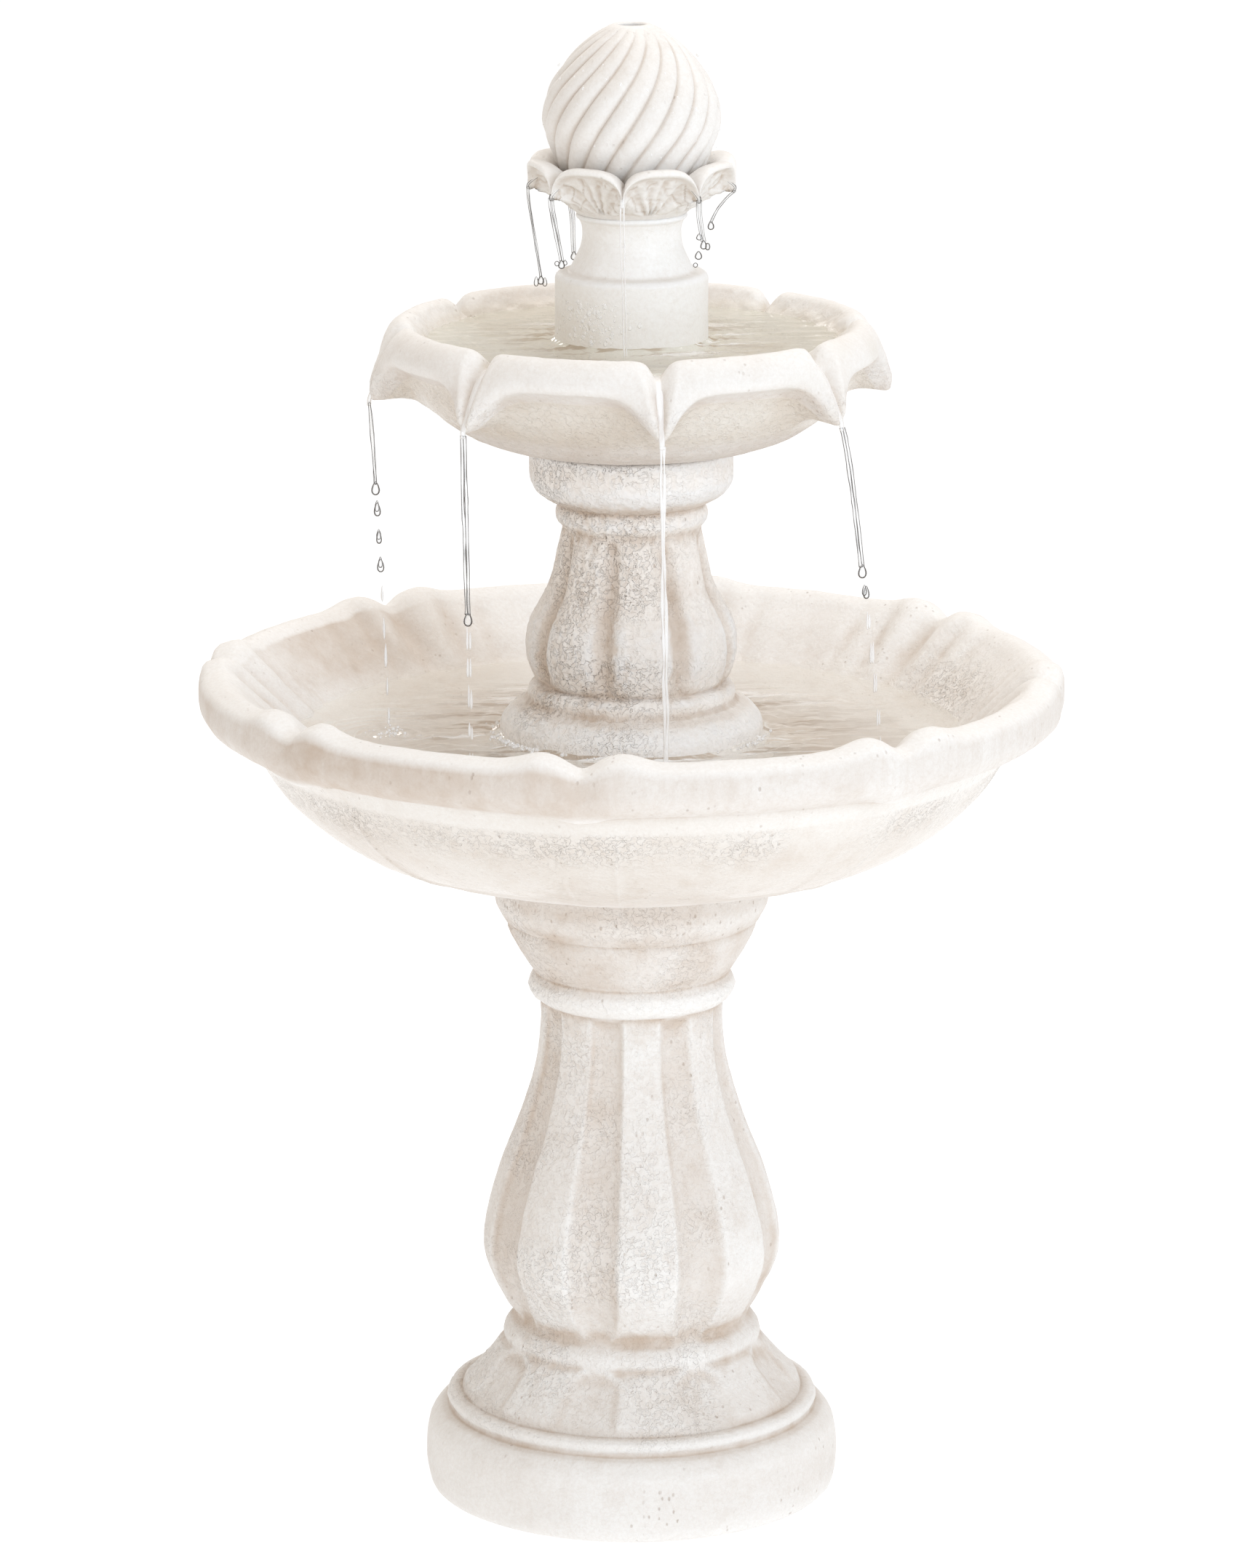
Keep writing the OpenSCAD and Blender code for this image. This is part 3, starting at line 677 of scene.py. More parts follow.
def make_column(stone):
    """Rows hold radius, height, 1 on the outside, and the share of the valleys' depth."""
    outline = [
        [80, BASIN_FLOOR, 1], [92, BASIN_FLOOR, 1], [92, 474, 1], [90.5, 500, 1], [88, 524, 1],
        [86.5, 534, 1], [80, 542, 1], [71, 546.5, 1], [68.5, 549, 1], [69, 553.5, 1], [66, 558, 1],
        [61.5, 559.5, 1], [65, 564, 1, 0.5], [69, 575, 1, 1], [70, 587, 1, 1], [67.5, 600, 1, 1],
        [61, 613, 1, 1], [54.5, 626, 1, 0.9], [51, 640, 1, 0.7], [47.5, 656, 1, 0.5], [46, 664, 1],
        [49.5, 669, 1], [50, 675, 1], [48, 680, 1], [56.5, 684.5, 1], [63.5, 689.5, 1], [67, 697, 1],
        [67, COLLAR_TOP - 1.5, 1], [65.5, COLLAR_TOP, 1], [14, COLLAR_TOP], [14, 705], [33, 695],
        [33, 660], [36, 640], [45, 612], [54, 588], [52, 560], [57, 545], [66, 534], [76, 522],
        [80, 505], [80, 461],
    ]
    inlet = 14.0    # half the width of each water inlet

    def place(angle, r, h, outer, share):
        v = from_valley(angle)
        valley = np.exp(-((v / 6.2) ** 2.4)) + 0.22 * (1 - v / (PITCH / 2)) ** 3
        x, y, z = around(r - 5.2 * np.clip(share, 0, 1) * valley, h, angle)
        side = np.minimum(np.abs(x), np.abs(y))
        arch = BASIN_FLOOR + 3 + np.sqrt(np.clip(inlet**2 - side**2, 0, None))
        return x, y, np.maximum(z, np.where(side < inlet, arch, BASIN_FLOOR))

    def relief(points, angle, r, h, outer, share):
        x, z = points[..., 0], points[..., 2]
        outside = step(outer, 0.4, 0.9) * fall(z, COLLAR_TOP - 4, COLLAR_TOP - 0.2)
        skin = (0.55 + 0.6 * fall(x, -25, 35)) * hammered(points, 51) + gentle(points, 53, 0.9)
        return outside * skin * step(z, BASIN_FLOOR + 0.2, BASIN_FLOOR + 4)

    def marks(points, angle, r, h, outer, share):
        x, z, v = points[..., 0], points[..., 2], from_valley(angle)
        uneven = 0.85 + 0.4 * value_noise(points * (1, 1, 0.5), 22, 57)
        # Taupe in the valleys, pooled at the lobes' feet and in the ring grooves is painted shade.
        valleys = np.clip(share, 0, 1) ** 0.5 * bell(v, 7.5)
        pooled_shade = bell(z - 562, 7) * bell(v, 14) + 0.55 * bell(z - 656, 6) * bell(v, 12)
        rings = bells(z, (0.6, 683, 4), (0.45, 546, 4), (0.9, COLLAR_TOP, 1.6))
        flaked = 0.35 + 0.75 * patches(points, 30, 58, -0.5, 0.3)
        return {
            "wet": 0.9 * fall(z, 528, 549),
            "stain": uneven * np.maximum(valleys, pooled_shade + rings) * step(outer, 0.4, 0.9),
            # The skirt in the basin's shade and the lobes' middles are painted lighter: painted light.
            "clean": 0.75 * fall(z, 536, 541) + 0.45 * bell(z - 578, 30) * step(v, 11, 17),
            "crinkle": (0.3 + 0.7 * fall(x, -25, 35)) * flaked,
        }

    casting("upper_column", "column", outline, place, 480, stone, relief, marks, 1.5, fine=(0, 29),
            reaches=(4, 6, 9, 13))


def make_bowl(stone):
    """Rows hold radius and height midway between the notches, the same at a notch, and how many
    degrees wide the notch is."""
    recess = 724.8
    outline = [
        [10, recess] * 2, [20, recess] * 2, [20, BOWL_BOTTOM] * 2, [66, BOWL_BOTTOM] * 2,
        [85, 721] * 2, [107, 728] * 2, [122, 737] * 2,
        [132, 745.5, 133, 744.5, 4.4], [139.5, 755, 143.5, 751, 4.8], [145, 765, 154, 752.5, 5.2],
        [150.5, 773, 163, 751.5, 5.3], [157, 777.8, 169.5, 751, 5.3], [162.3, 780.5, 172.4, 753, 5.2],
        [164, 785.5, 172.6, 758, 4.9], [162, 792.5, 169, 768, 4.4], [157.5, 798.6, 161.5, 779.5, 3.5],
        [151.5, 801.5, 150, 787.5, 2.3], [145.5, 799.8, 140, 786, 2.6], [138, 792.5, 134, 783.5, 3.2],
        [124, 778, 122, 775, 4],
        [104, 759.5] * 2, [80, 747] * 2, [58, BOWL_FLOOR] * 2, [10, BOWL_FLOOR] * 2,
    ]

    def place(angle, r, h, notch_r, notch_h, width):
        t = wrap(angle)
        share = peak(t, width)
        outer = step(notch_r, 156, 163) * step(notch_h, 751.5, 757)
        open_up = step(notch_h, 752, 787)
        crease = outer * (2.4 + 2.2 * open_up) * bell(t, 0.6 + 0.9 * open_up)
        lip = 1.2 * outer * bell(np.abs(t) - 1.7 - 2.4 * open_up, 1.3)
        height = h + share * (notch_h - h) - 0.5 * crease
        return around(r + share * (notch_r - r) - crease + lip, height, angle)

    def relief(points, angle, r, *_):
        z = points[..., 2]
        inner = fall(np.abs(r - 134), 7, 16) * step(z, 776, 790)
        cracks = np.clip(1 - 7 * np.abs(value_noise(points, 11, 75)), 0, 1)
        cracks = cracks * patches(points, 34, 76, 0.1, 0.5)
        skin = gentle(points, 71, 1.1) - 0.4 * cracks + 0.8 * inner * rough(points, 7, 72, 3)
        return skin * step(z, BOWL_BOTTOM, BOWL_BOTTOM + 3)

    def marks(points, angle, r, *_):
        z, near = points[..., 2], np.abs(wrap(angle))
        inner = step(z, 735, 745) * (r < 150)
        lip = 0.5 * step(r, 149, 156) * patches(points, 30, 8, 0, 0.8)
        patch = patches(points, 45, 78, -0.1, 0.5)
        under = fall(z, 765, 780) * step(z, BOWL_BOTTOM, BOWL_BOTTOM + 4)
        petal = step(r, 150, 156) * fall(z, 788, 797)
        # Taupe under the petals beside the spouts, in the spouts' creases, on the underside and on the
        # inner wall is painted shade, in patches.
        stain = petal * (0.35 * bell(near - 8, 5) * patch + 0.5 * bell(near, 1.1))
        return {
            "wet": np.maximum(inner * fall(z, 790, 797), lip),
            "stain": stain + 0.25 * under * patch + 0.35 * inner * patch,
            "crinkle": 0.45 * np.maximum(under, petal * patch),
            "streak": 0.4 * under,
        }

    casting("upper_bowl", "bowl", outline, place, 560, stone, relief, marks, 2.2, bunch=0.72)


def make_topper_base(stone):
    outline = [
        [40, BOWL_FLOOR], [50.3, BOWL_FLOOR], [50.3, 829.6], [49.7, 831.8], [48, 833.3], [45.4, 834],
        [42.4, 834.3], [40.8, 835.4], [38.6, 839.5], [36, 845], [33.8, 850.5], [32.5, 857],
        [32.8, 864], [34.3, 868.5], [36, 870], [36.6, 871.2], [36, NECK_TOP], [8.3, NECK_TOP],
        [8.3, 828], [34, 820], [40, 812], [40, BOWL_FLOOR + 3],
    ]

    def place(angle, r, h):
        return around(r, h, angle)

    def relief(points, angle, r, h):
        skin = gentle(points, 91, 0.55) * step(r, 20, 32)
        return skin * step(points[..., 2], BOWL_FLOOR, BOWL_FLOOR + 3)

    def marks(points, angle, r, h):
        return {
            "wet": 0.35 + 0.5 * patches(points * (1, 1, 0.5), 20, 12, -0.2, 0.6),
            # Thin taupe lines in the step above the drum and at the bead near the neck's top are
            # painted shade.
            "stain": bells(points[..., 2], (0.7, 834.6, 0.9), (0.5, 870, 1.2)),
        }

    casting("topper_base", "topper", outline, place, 320, stone, relief, marks, 0.8, fine=(2, 15))


def make_petal_cup(stone):
    """Rows hold radius and height at a petal's middle, and the same at the notches."""
    outline = [
        [8.3, NECK_TOP] * 2, [34, NECK_TOP] * 2, [39.5, 876.5] * 2, [46, 882.5, 50, 883],
        [51.5, 891, 59, 886], [57, 899.5, 64.5, 886.5], [62, 904.2, 67, 886.8],
        [66.5, 905.4, 68, 887.6], [68.4, 907, 68.2, 889.2], [66.8, 909.3, 66, 891],
        [63, 909.9, 61.5, 893.4], [57, 908.5, 55, 896], [52, 903.5, 51, 898], [49, 898, 49, 896.5],
        [44, CUP_FLOOR] * 2, [8.3, CUP_FLOOR] * 2,
    ]

    def place(angle, r, h, notch_r, notch_h):
        u = 1 - np.abs(wrap(angle)) / (PITCH / 2)
        share = 1 - np.sqrt(np.clip(1 - u**3, 0, 1))
        return around(r + share * (notch_r - r), h + share * (notch_h - h), angle + CUP_TURN)

    def relief(points, angle, r, h, *_):
        under = step(r, 36, 42) * fall(h, 900, 904) * step(h, 875, 878)
        across = wrap(angle + PITCH / 2) / (PITCH / 2)
        fan = np.arctan2(1.5 * across, 0.25 + (h - 876) / 26)
        leaf = np.cos(11 * fan + 0.8 * value_noise(points, 9, 104))
        leaf = np.sign(leaf) * np.abs(leaf) ** 0.6 * (0.75 + 0.35 * value_noise(points, 5, 105))
        leaf = leaf - 0.8 * np.clip(1 - 5 * np.abs(value_noise(points * (1, 1, 0.7), 6.5, 101)), 0, 1)
        skin = gentle(points, 102, 0.4) * step(r, 30, 36)
        return skin + under * (1.2 * leaf + 0.5 * rough(points, 4, 103, 2))

    def marks(points, angle, r, h, *_):
        return {"wet": 0.6 * step(h, 896, 904)}

    casting("petal_cup", "topper", outline, place, 400, stone, relief, marks, 0.9, bunch=0.5)


def make_ball(stone):
    middle, widest, ribs, swirl = 931, 58.4, 18, 0.7
    outline = [
        [8.3, CUP_FLOOR], [38, CUP_FLOOR], [44, 896.5], [49, 905], [53, 915], [56.5, 924], [58.4, 933],
        [57.9, 941], [56.3, 949], [52.5, 958.5], [46.6, 967.5], [38.5, 977.5], [29, 986.5],
        [20, 992.5], [13, BALL_TOP - 0.4], [9.8, BALL_TOP], [8.8, BALL_TOP - 1.2],
        [8.8, BALL_TOP - 11.5], [8.3, BALL_TOP - 12],
    ]

    def ridge(angle):
        """1 on the top of a rib, 0 in a groove."""
        return np.abs(np.sin(np.radians(angle * ribs / 2)))

    def place(angle, r, h):
        latitude = np.degrees(np.arctan2(h - middle, r))
        bite = 4.6 * r / widest * (1 - ridge(angle) ** 0.75) * step(r, 11, 24)
        return around(r - bite, h, angle + swirl * latitude)

    def relief(points, angle, r, h):
        return gentle(points, 121, 0.35) * step(r, 9, 14)

    def marks(points, angle, r, h):
        # Taupe in the grooves between the ribs is painted shade.
        stain = 0.85 * step(1 - ridge(angle), 0.55, 1.0) * step(r, 20, 34)
        return {"wet": 0.45 + 0.3 * value_noise(points, 22, 15), "stain": stain}

    casting("swirl_ball", "topper", outline, place, 540, stone, relief, marks, 1.5)


def make_castings():
    make_pedestal(stone_material("stone_pedestal", IVORY, TAUPE, 0.9, pitted=(0.396, 0.400)))
    make_basin(stone_material("stone_basin", IVORY, TAUPE, 0.7, 0.15))
    # The column's and the neck's stone is lighter than the rest, as painted light, and the bowl's a
    # little darker, as painted shade.
    ivory = (0.99, 0.955, 0.915)
    make_column(stone_material("stone_column", ivory, TAUPE, 0.85, 0.05, stain=0.85, groove_shade=0.05))
    make_bowl(stone_material("stone_bowl", (0.845, 0.825, 0.80), TAUPE, 0.6, 0.45))
    ivory, taupe = (0.96, 0.952, 0.938), (0.70, 0.62, 0.54)
    make_topper_base(stone_material("stone_neck", ivory, taupe, 0.3, 0.0, stain=0.55))
    ivory, taupe = (0.86, 0.84, 0.815), (0.62, 0.53, 0.45)
    topper = stone_material("stone_topper", ivory, taupe, 0.3, 0.05)
    make_petal_cup(topper)
    make_ball(topper)


# ---------------------------------------------------------------- water

BASIN_SKIRT = 88.0    # radius of the column's foot at the basin's waterline
DRUM = 50.3           # radius of the drum in the upper bowl
BALL = (58, 66, 933)  # the ball's radius, half height and middle

# Streams over the bowl's spouts: the spout's angle from -Y towards +X, where the water lands, and
# the shares of its fall down to which it is a thread and then whole drops
SPOUTS = {
    "left": {"turn": -90, "lands": (-161, 3), "thread": 0.24, "drops": 0.55},
    "left_front": {"turn": -45, "lands": (-117, -113), "thread": 0.52, "drops": 0.5},
    "front": {"turn": 0, "lands": (3.5, -168), "thread": 1.0, "drops": 1.0},
    "right_front": {"turn": 45, "lands": (151, -127), "thread": 0.40, "drops": 0.54},
}
# Streams from the cup's notches: path, width, and the drops at its end, each with its offset from
# that end, radius, length and phase
END_DROP = ((0, 0, -2.2), 2.0, 1.5, 0.5)
CUP_STREAMS = {
    "far_left": {
        "path": [(-66.6, 13.6, 889), (-66.2, 13.5, 880), (-62.5, 13, 855), (-58.5, 12.3, 829)],
        "width": 1.25,
        "drops": [END_DROP, ((-3.1, 0, -3.0), 1.4, 2.4, 1.2), ((2.6, 0, -3.4), 1.4, 2.2, 2.2)],
    },
    "near_left": {
        "path": [(-56.7, -37.5, 889), (-56.2, -37.2, 882), (-52.5, -35.5, 864), (-49.6, -34, 847)],
        "width": 1.15,
        "drops": [END_DROP, ((-3.0, 0, -1.6), 1.5, 1.2, 2.0), ((2.4, 0, -1.0), 1.3, 1.4, 3.0)],
    },
    "back_left": {
        "path": [(-37.5, 56.7, 889), (-36.5, 56, 880), (-33.5, 54, 860), (-32.5, 53, 838)],
        "width": 1.0,
        "drops": [END_DROP],
    },
    "front": {
        "path": [(-13.6, -66.8, 888), (-13.4, -66.5, 870), (-12.2, -65.5, 830), (-11, -64.5, 787)],
        "width": 0.75,
        "drops": [],
    },
    "near_right": {
        "path": [(37.5, -56.7, 889), (37.6, -56.8, 880), (39, -57, 870), (40.5, -57.2, 862)],
        "width": 1.05,
        "drops": [END_DROP, ((-2.8, 0.5, 3), 1.7, 1.35, 2.0), ((2.6, 0, -3.4), 1.9, 1.3, 4.0)],
    },
    "far_right": {
        "path": [(66.6, -13.6, 888), (62, -12.7, 884), (55.5, -11.6, 876), (51, -10.6, 867)],
        "width": 1.1,
        "drops": [END_DROP, ((-8, 1.1, -22), 2.1, 1.4, 1.2), ((-10, 1.1, -28.5), 1.5, 1.1, 1.2)],
    },
}


def turned(row_angle):
    """Angle about +Z in degrees of a direction given from -Y towards +X."""
    return row_angle + SPOUT_FRONT


def beside(row_angle, radius):
    a = math.radians(turned(row_angle))
    return radius * math.cos(a), radius * math.sin(a)


def swell(x, y, chop, landings, rings, stone, waves, edge):
    """Height of the water over its level: chop, rings of ripples about each landing, and waves and
    a raised edge about the stone's radius. Rings and waves have a length, a height and a reach."""
    length, height, reach = rings
    for centre in landings:
        d = np.hypot(x - centre[0], y - centre[1])
        ring = height * np.cos(2 * np.pi * d / length) * np.exp(-d / reach) * np.clip(d / 4, 0.3, 1)
        chop = chop + ring
    length, height, reach = waves
    away = np.hypot(x, y) - stone
    chop = chop + height * np.cos(2 * np.pi * away / length) * np.exp(-np.abs(away) / reach)
    return chop + edge[0] * np.exp(-np.abs(away) / edge[1])


def pool(name, body, radii, bed, level, surface, material, stone_radius):
    """Closed body of water: a rippled top disc and a bottom that lies just inside the stone. The
    ripples show most beside the stone that stands in it."""
    count = 640
    angle = np.arange(count)[None, :] * 360 / count
    x, y, _ = around(np.concatenate(radii)[:, None], 0, angle)
    top = np.stack([x, y, level + surface(x, y)], -1)
    bed = np.array(bed)
    under = np.stack(around(bed[:, :1], bed[:, 1:], angle), -1)
    ends = [[0, 0, top[0, :, 2].mean()], [0, 0, bed[-1, 1]]]
    points, faces = capped(np.concatenate([top, under]), ends, True)
    ripple = bell(np.hypot(points[:, 0], points[:, 1]) - stone_radius, 0.65 * stone_radius)
    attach(mesh_object(name, points, faces, material, {"ripple": ripple}), body)


def make_pools(basin_pool, bowl_pool):
    def basin_surface(x, y):
        points = np.stack([x, y, 0 * x], -1)
        calmer = 0.14 + 0.86 * bell(np.hypot(x, y) - BASIN_SKIRT, 48)
        chop = rough(points * (0.4, 1, 1), 9, 201, 2) * calmer
        landings = [row["lands"] for row in SPOUTS.values()]
        return swell(x, y, chop, landings, (9.5, 1.2, 17), BASIN_SKIRT, (13, 0.6, 24), (1.5, 2.2))

    def bowl_surface(x, y):
        points = np.stack([x, y, 0 * x], -1)
        chop = 0.5 * rough(points * (0.45, 1, 1), 8, 221, 2)
        landings = [row["path"][-1] for row in CUP_STREAMS.values()]
        return swell(x, y, chop, landings, (6.5, 0.55, 12), DRUM, (8.5, 0.5, 16), (1.3, 1.8))

    radii = [np.arange(4, 80, 8), np.arange(80, 96, 0.9), np.arange(96, 232, 1.25)]
    floor = BASIN_FLOOR - 1.5
    bed = [(232, 522), (216, 515), (186, 490), (153, 467), (125, floor), (40, floor)]
    pool("basin_water", "basin", radii, bed, BASIN_WATER, basin_surface, basin_pool, BASIN_SKIRT)
    radii = [np.arange(4, 46, 7), np.arange(46, 56, 0.7), np.arange(56, 136, 0.95)]
    floor = BOWL_FLOOR - 1.5
    bed = [(136.5, 787), (128, 779.5), (106, 758.5), (81, 745.5), (58, floor), (20, floor)]
    pool("bowl_water", "bowl", radii, bed, BOWL_WATER, bowl_surface, bowl_pool, DRUM)


def through(points, spacing):
    """Smooth line through a few points, sampled evenly."""
    p = np.array(points, float)
    p = np.concatenate([2 * p[:1] - p[1:2], p, 2 * p[-1:] - p[-2:-1]])
    made = []
    for a, b, c, d in zip(p[:-3], p[1:-2], p[2:-1], p[3:]):
        count = max(2, round(float(np.linalg.norm(c[:3] - b[:3])) / spacing))
        t = (np.arange(count) / count)[:, None]
        made.append(
            0.5 * (2 * b + (c - a) * t + (2 * a - 5 * b + 4 * c - d) * t**2
                   + (3 * b - a - 3 * c + d) * t**3)
        )
    made.append(p[-2:-1])
    return np.concatenate(made)


def swept(path, side, widths, depths, count=14):
    """Points and faces of a closed tube whose oval section lies across a path."""
    along = np.gradient(path, axis=0)
    along /= np.linalg.norm(along, axis=1, keepdims=True)
    across = side - along * (along @ side)[:, None]
    across /= np.linalg.norm(across, axis=1, keepdims=True)
    out = np.cross(along, across)
    t = np.arange(count) * 2 * np.pi / count
    grid = (
        path[:, None, :]
        + widths[:, None, None] * np.cos(t)[None, :, None] * across[:, None, :]
        + depths[:, None, None] * np.sin(t)[None, :, None] * out[:, None, :]
    )
    return capped(grid, [path[0], path[-1]])


def drop(at, radius, length, phase, lean=0.0):
    """A pear-shaped drop with its round end down, a little uneven."""
    rings, count = 9, 12
    t = (np.arange(rings) + 1) / (rings + 1) * np.pi
    pear = np.sin(t) * (1 - 0.42 * np.cos(t) * (length > 1.3))
    a = np.arange(count) * 2 * np.pi / count
    uneven = 1 + 0.12 * np.sin(2 * a + phase)[None, :] * np.sin(t)[:, None]
    x = radius * pear[:, None] * np.cos(a) * uneven
    y = radius * pear[:, None] * np.sin(a) * uneven
    z = radius * length * np.cos(t)[:, None] + 0 * a
    poles = radius * length * np.array([[lean, 0, 1], [-lean, 0, -1]])
    points, faces = capped(np.stack([x + lean * z, y, z], -1), poles, True)
    return points + at, faces


def water_piece(name, body, parts, material):
    """One piece that rides on a body, from many points and faces."""
    points, quads, triangles, start = [], [], [], 0
    for p, faces in parts:
        points.append(p)
        for f in faces:
            (quads if f.shape[1] == 4 else triangles).append(f + start)
        start += len(p)
    faces = [np.concatenate(quads), np.concatenate(triangles)]
    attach(mesh_object(name, np.concatenate(points), faces, material), body)


def thread(path, side, seed, width, knots):
    """A falling thread of water that twists, thins and swells."""
    s = np.concatenate([[0], np.cumsum(np.linalg.norm(np.diff(path, axis=0), axis=1))])
    line = np.stack([s, 0 * s, 0 * s], -1)
    twist = value_noise(line, 13, seed)
    knot = np.clip(value_noise(line, 7, seed + 1), 0, 1) ** 2 * knots
    widths = width * (0.78 + 0.32 * twist + knot)
    depths = width * (0.74 - 0.26 * twist + 0.8 * knot)
    drift = 0.55 * value_noise(line, 22, seed + 2)[:, None] * side
    return swept(path + drift * np.clip(s / 30, 0, 1)[:, None], side, widths, depths)


def blob(at, side, size, seed):
    """Two pear-shaped drops that have run together."""
    return [
        drop(at + side * 0.28 * size, 0.62 * size, 2.1, seed),
        drop(at - side * 0.34 * size + (0, 0, 0.5 * size), 0.48 * size, 2.3, seed + 2),
    ]


def dashes(at, side, dice):
    """A pair of short bright threads side by side."""
    parts = []
    for across in (-1, 1):
        place = at + side * across * (0.95 + 0.35 * dice.random()) + (0, 0, 3 * dice.random() - 1.5)
        radius, length = 0.72 + 0.25 * dice.random(), 5.5 + 3.5 * dice.random()
        parts.append(drop(place, radius, length, dice.random() * 6))
    return parts


def spout_stream(name, row):
    """Water that leaves the bowl over one spout and falls into the basin: its threads and whole
    drops, and then its dashes and splashes."""
    dice = random.Random(name)
    angle, reach = row["turn"], row["thread"]
    a = math.radians(turned(angle))
    side = np.array([-math.sin(a), math.cos(a), 0])
    groove = [    # radius, height, half width and half depth
        (128, 787.9, 5.0, 0.9), (140, 788.6, 4.0, 0.9), (148, 788.9, 3.2, 0.9),
        (152.5, 787.2, 2.8, 0.9), (156.5, 783.2, 2.6, 0.9), (160, 778.8, 2.5, 0.9),
        (163.6, 772.6, 2.3, 0.9), (166.8, 766.6, 2.2, 1.0), (169.4, 761, 2.0, 1.0),
        (171.4, 756.8, 1.9, 1.2), (172.9, 752.6, 1.9, 1.4), (173.2, 748, 1.7, 1.4),
    ]
    film = through([(*beside(angle, r), z, w, t) for r, z, w, t in groove], 1.6)
    threads, splashes = [], [swept(film[:, :3], side, film[:, 3], film[:, 4])]
    start = np.array([*beside(angle, 173.2), 750])
    end = np.array([*row["lands"], BASIN_WATER - 3])

    def at(t):
        x, y = start[:2] + (end[:2] - start[:2]) * t**0.8
        return np.array([x, y, start[2] + (end[2] - start[2]) * t])

    falling = np.array([at(t) for t in np.linspace(0, reach, int(170 * reach))])
    size = 0.8 if name == "front" else 1.0
    for across in (-1, 1):
        twist = across * size * (1.15 + 0.3 * np.sin(np.linspace(0, 9 * reach, len(falling)) + across))
        path, seed = falling + side * twist[:, None], len(name) * 7 + across
        threads.append(thread(path, side, seed, 1.4 * size, 0.25))
    # The front threads, in front of the stone, go into the bright water, whose white is painted
    # highlight.
    if name == "front":
        threads, splashes = [], splashes + threads
    else:
        threads.append(drop(at(reach) - (0, 0, 3), 2.5, 1.9, 1.0))
    t = reach + 0.075
    while t < 0.97:
        if t < row["drops"]:
            threads += blob(at(t), side, 3.1 + 0.5 * dice.random(), dice.random() * 6)
            t += 0.083
        else:
            splashes += dashes(at(t), side, dice)
            t += 0.075 + 0.03 * dice.random()
    for k in range(34):
        bearing, away = dice.random() * 6.28, 2.5 + 15 * dice.random() ** 1.5
        place = np.array([end[0] + away * math.cos(bearing), end[1] + away * math.sin(bearing),
                          BASIN_WATER + 0.9 + 7 * dice.random() ** 2.5 * (1 - away / 20)])
        splashes.append(drop(place, 0.5 + 0.9 * dice.random() ** 2, 1.0, k, 0.1))
    return threads, splashes


def cup_stream(name, row):
    """Water that leaves the cup through one notch: a film over the rim, two threads and drops."""
    path = through(row["path"], 1.0)
    outward = np.array([*row["path"][0][:2], 0.0])
    outward /= np.linalg.norm(outward)
    side = np.array([-outward[1], outward[0], 0.0])
    inner = np.array([*(outward[:2] * 57), 897.2])
    rim = np.array([*(outward[:2] * 67.8), 890.6])
    film = through([inner, (inner + rim) / 2 + (0, 0, 0.9), rim, path[2]], 1.0)
    parts = [swept(film, side, np.linspace(2.6, 1.3, len(film)), np.linspace(0.7, 0.9, len(film)), 12)]
    for across in (-1, 1):
        spread = np.linspace(1.5, 1.15, len(path))[:, None] * row["width"]
        beside_it, seed = path + side * across * spread, len(name) + 3 + across
        parts.append(thread(beside_it, side, seed, row["width"] * 0.85, 0.3))
    for offset, radius, length, phase in row["drops"]:
        parts.append(drop(np.array(row["path"][-1]) + offset, radius, length, phase))
    return parts


def beads_on(dice, count, surface, sizes):
    """Droplets that cling, half flattened, to a surface, which gives a random point on it and its
    outward normal."""
    parts = []
    for _ in range(count):
        at, normal = surface(dice)
        radius = sizes[0] + (sizes[1] - sizes[0]) * dice.random() ** 3
        points, faces = drop(np.zeros(3), radius, 1.0 + 0.5 * dice.random(), dice.random() * 6)
        n = normal / np.linalg.norm(normal)
        parts.append((points - 0.5 * np.outer(points @ n, n) + at, faces))
    return parts


def make_streams(thin_water, bright_water, bead_water):
    for name, row in SPOUTS.items():
        threads, splashes = spout_stream(name, row)
        if threads:
            water_piece("bowl_stream_" + name, "bowl", threads, thin_water)
        water_piece("bowl_splash_" + name, "bowl", splashes, bright_water)
    for name, row in CUP_STREAMS.items():
        # The front cup stream is in the bright water too: painted highlight.
        look = bright_water if name == "front" else thin_water
        water_piece("cup_stream_" + name, "topper", cup_stream(name, row), look)

    def on_drum(dice):
        a = turned(-42 + 16 * dice.gauss(0, 1))
        z = 793 + 27 * dice.random()
        x, y, _ = around(DRUM + 0.1, 0, a)
        return np.array([x, y, z]), np.array([x, y, 0])

    def on_ball(dice):
        a = turned(360 * dice.random())
        z = 905 + 75 * dice.random()
        radius, half, middle = BALL
        x, y, _ = around(radius * math.sqrt(max(0.05, 1 - ((z - middle) / half) ** 2)), 0, a)
        return np.array([x, y, z]), np.array([x, y, z - middle])

    # White drops along the skirt's waterline: foam, and painted highlight where the waterline would
    # catch the light.
    dice = random.Random("foam")
    foam = []
    for k in range(110):
        a = turned(-62 + 16 * dice.gauss(0, 1) if k % 3 else 58 + 10 * dice.gauss(0, 1))
        x, y, _ = around(BASIN_SKIRT + 2.5 + 3.5 * abs(dice.gauss(0, 1)), 0, a)
        foam.append(drop(np.array([x, y, BASIN_WATER + 1.6]), 0.6 + 1.1 * dice.random() ** 2, 1.0, k))
    water_piece("basin_foam_and_glints", "basin", foam, bright_water)

    # Drops that cling to the drum and ball; their light edges are painted highlights.
    dice = random.Random("beads")
    beads = beads_on(dice, 150, on_drum, (0.45, 1.7)) + beads_on(dice, 60, on_ball, (0.4, 1.1))
    water_piece("topper_droplets", "topper", beads, bead_water)


# ---------------------------------------------------------------- pump, seals and hoses


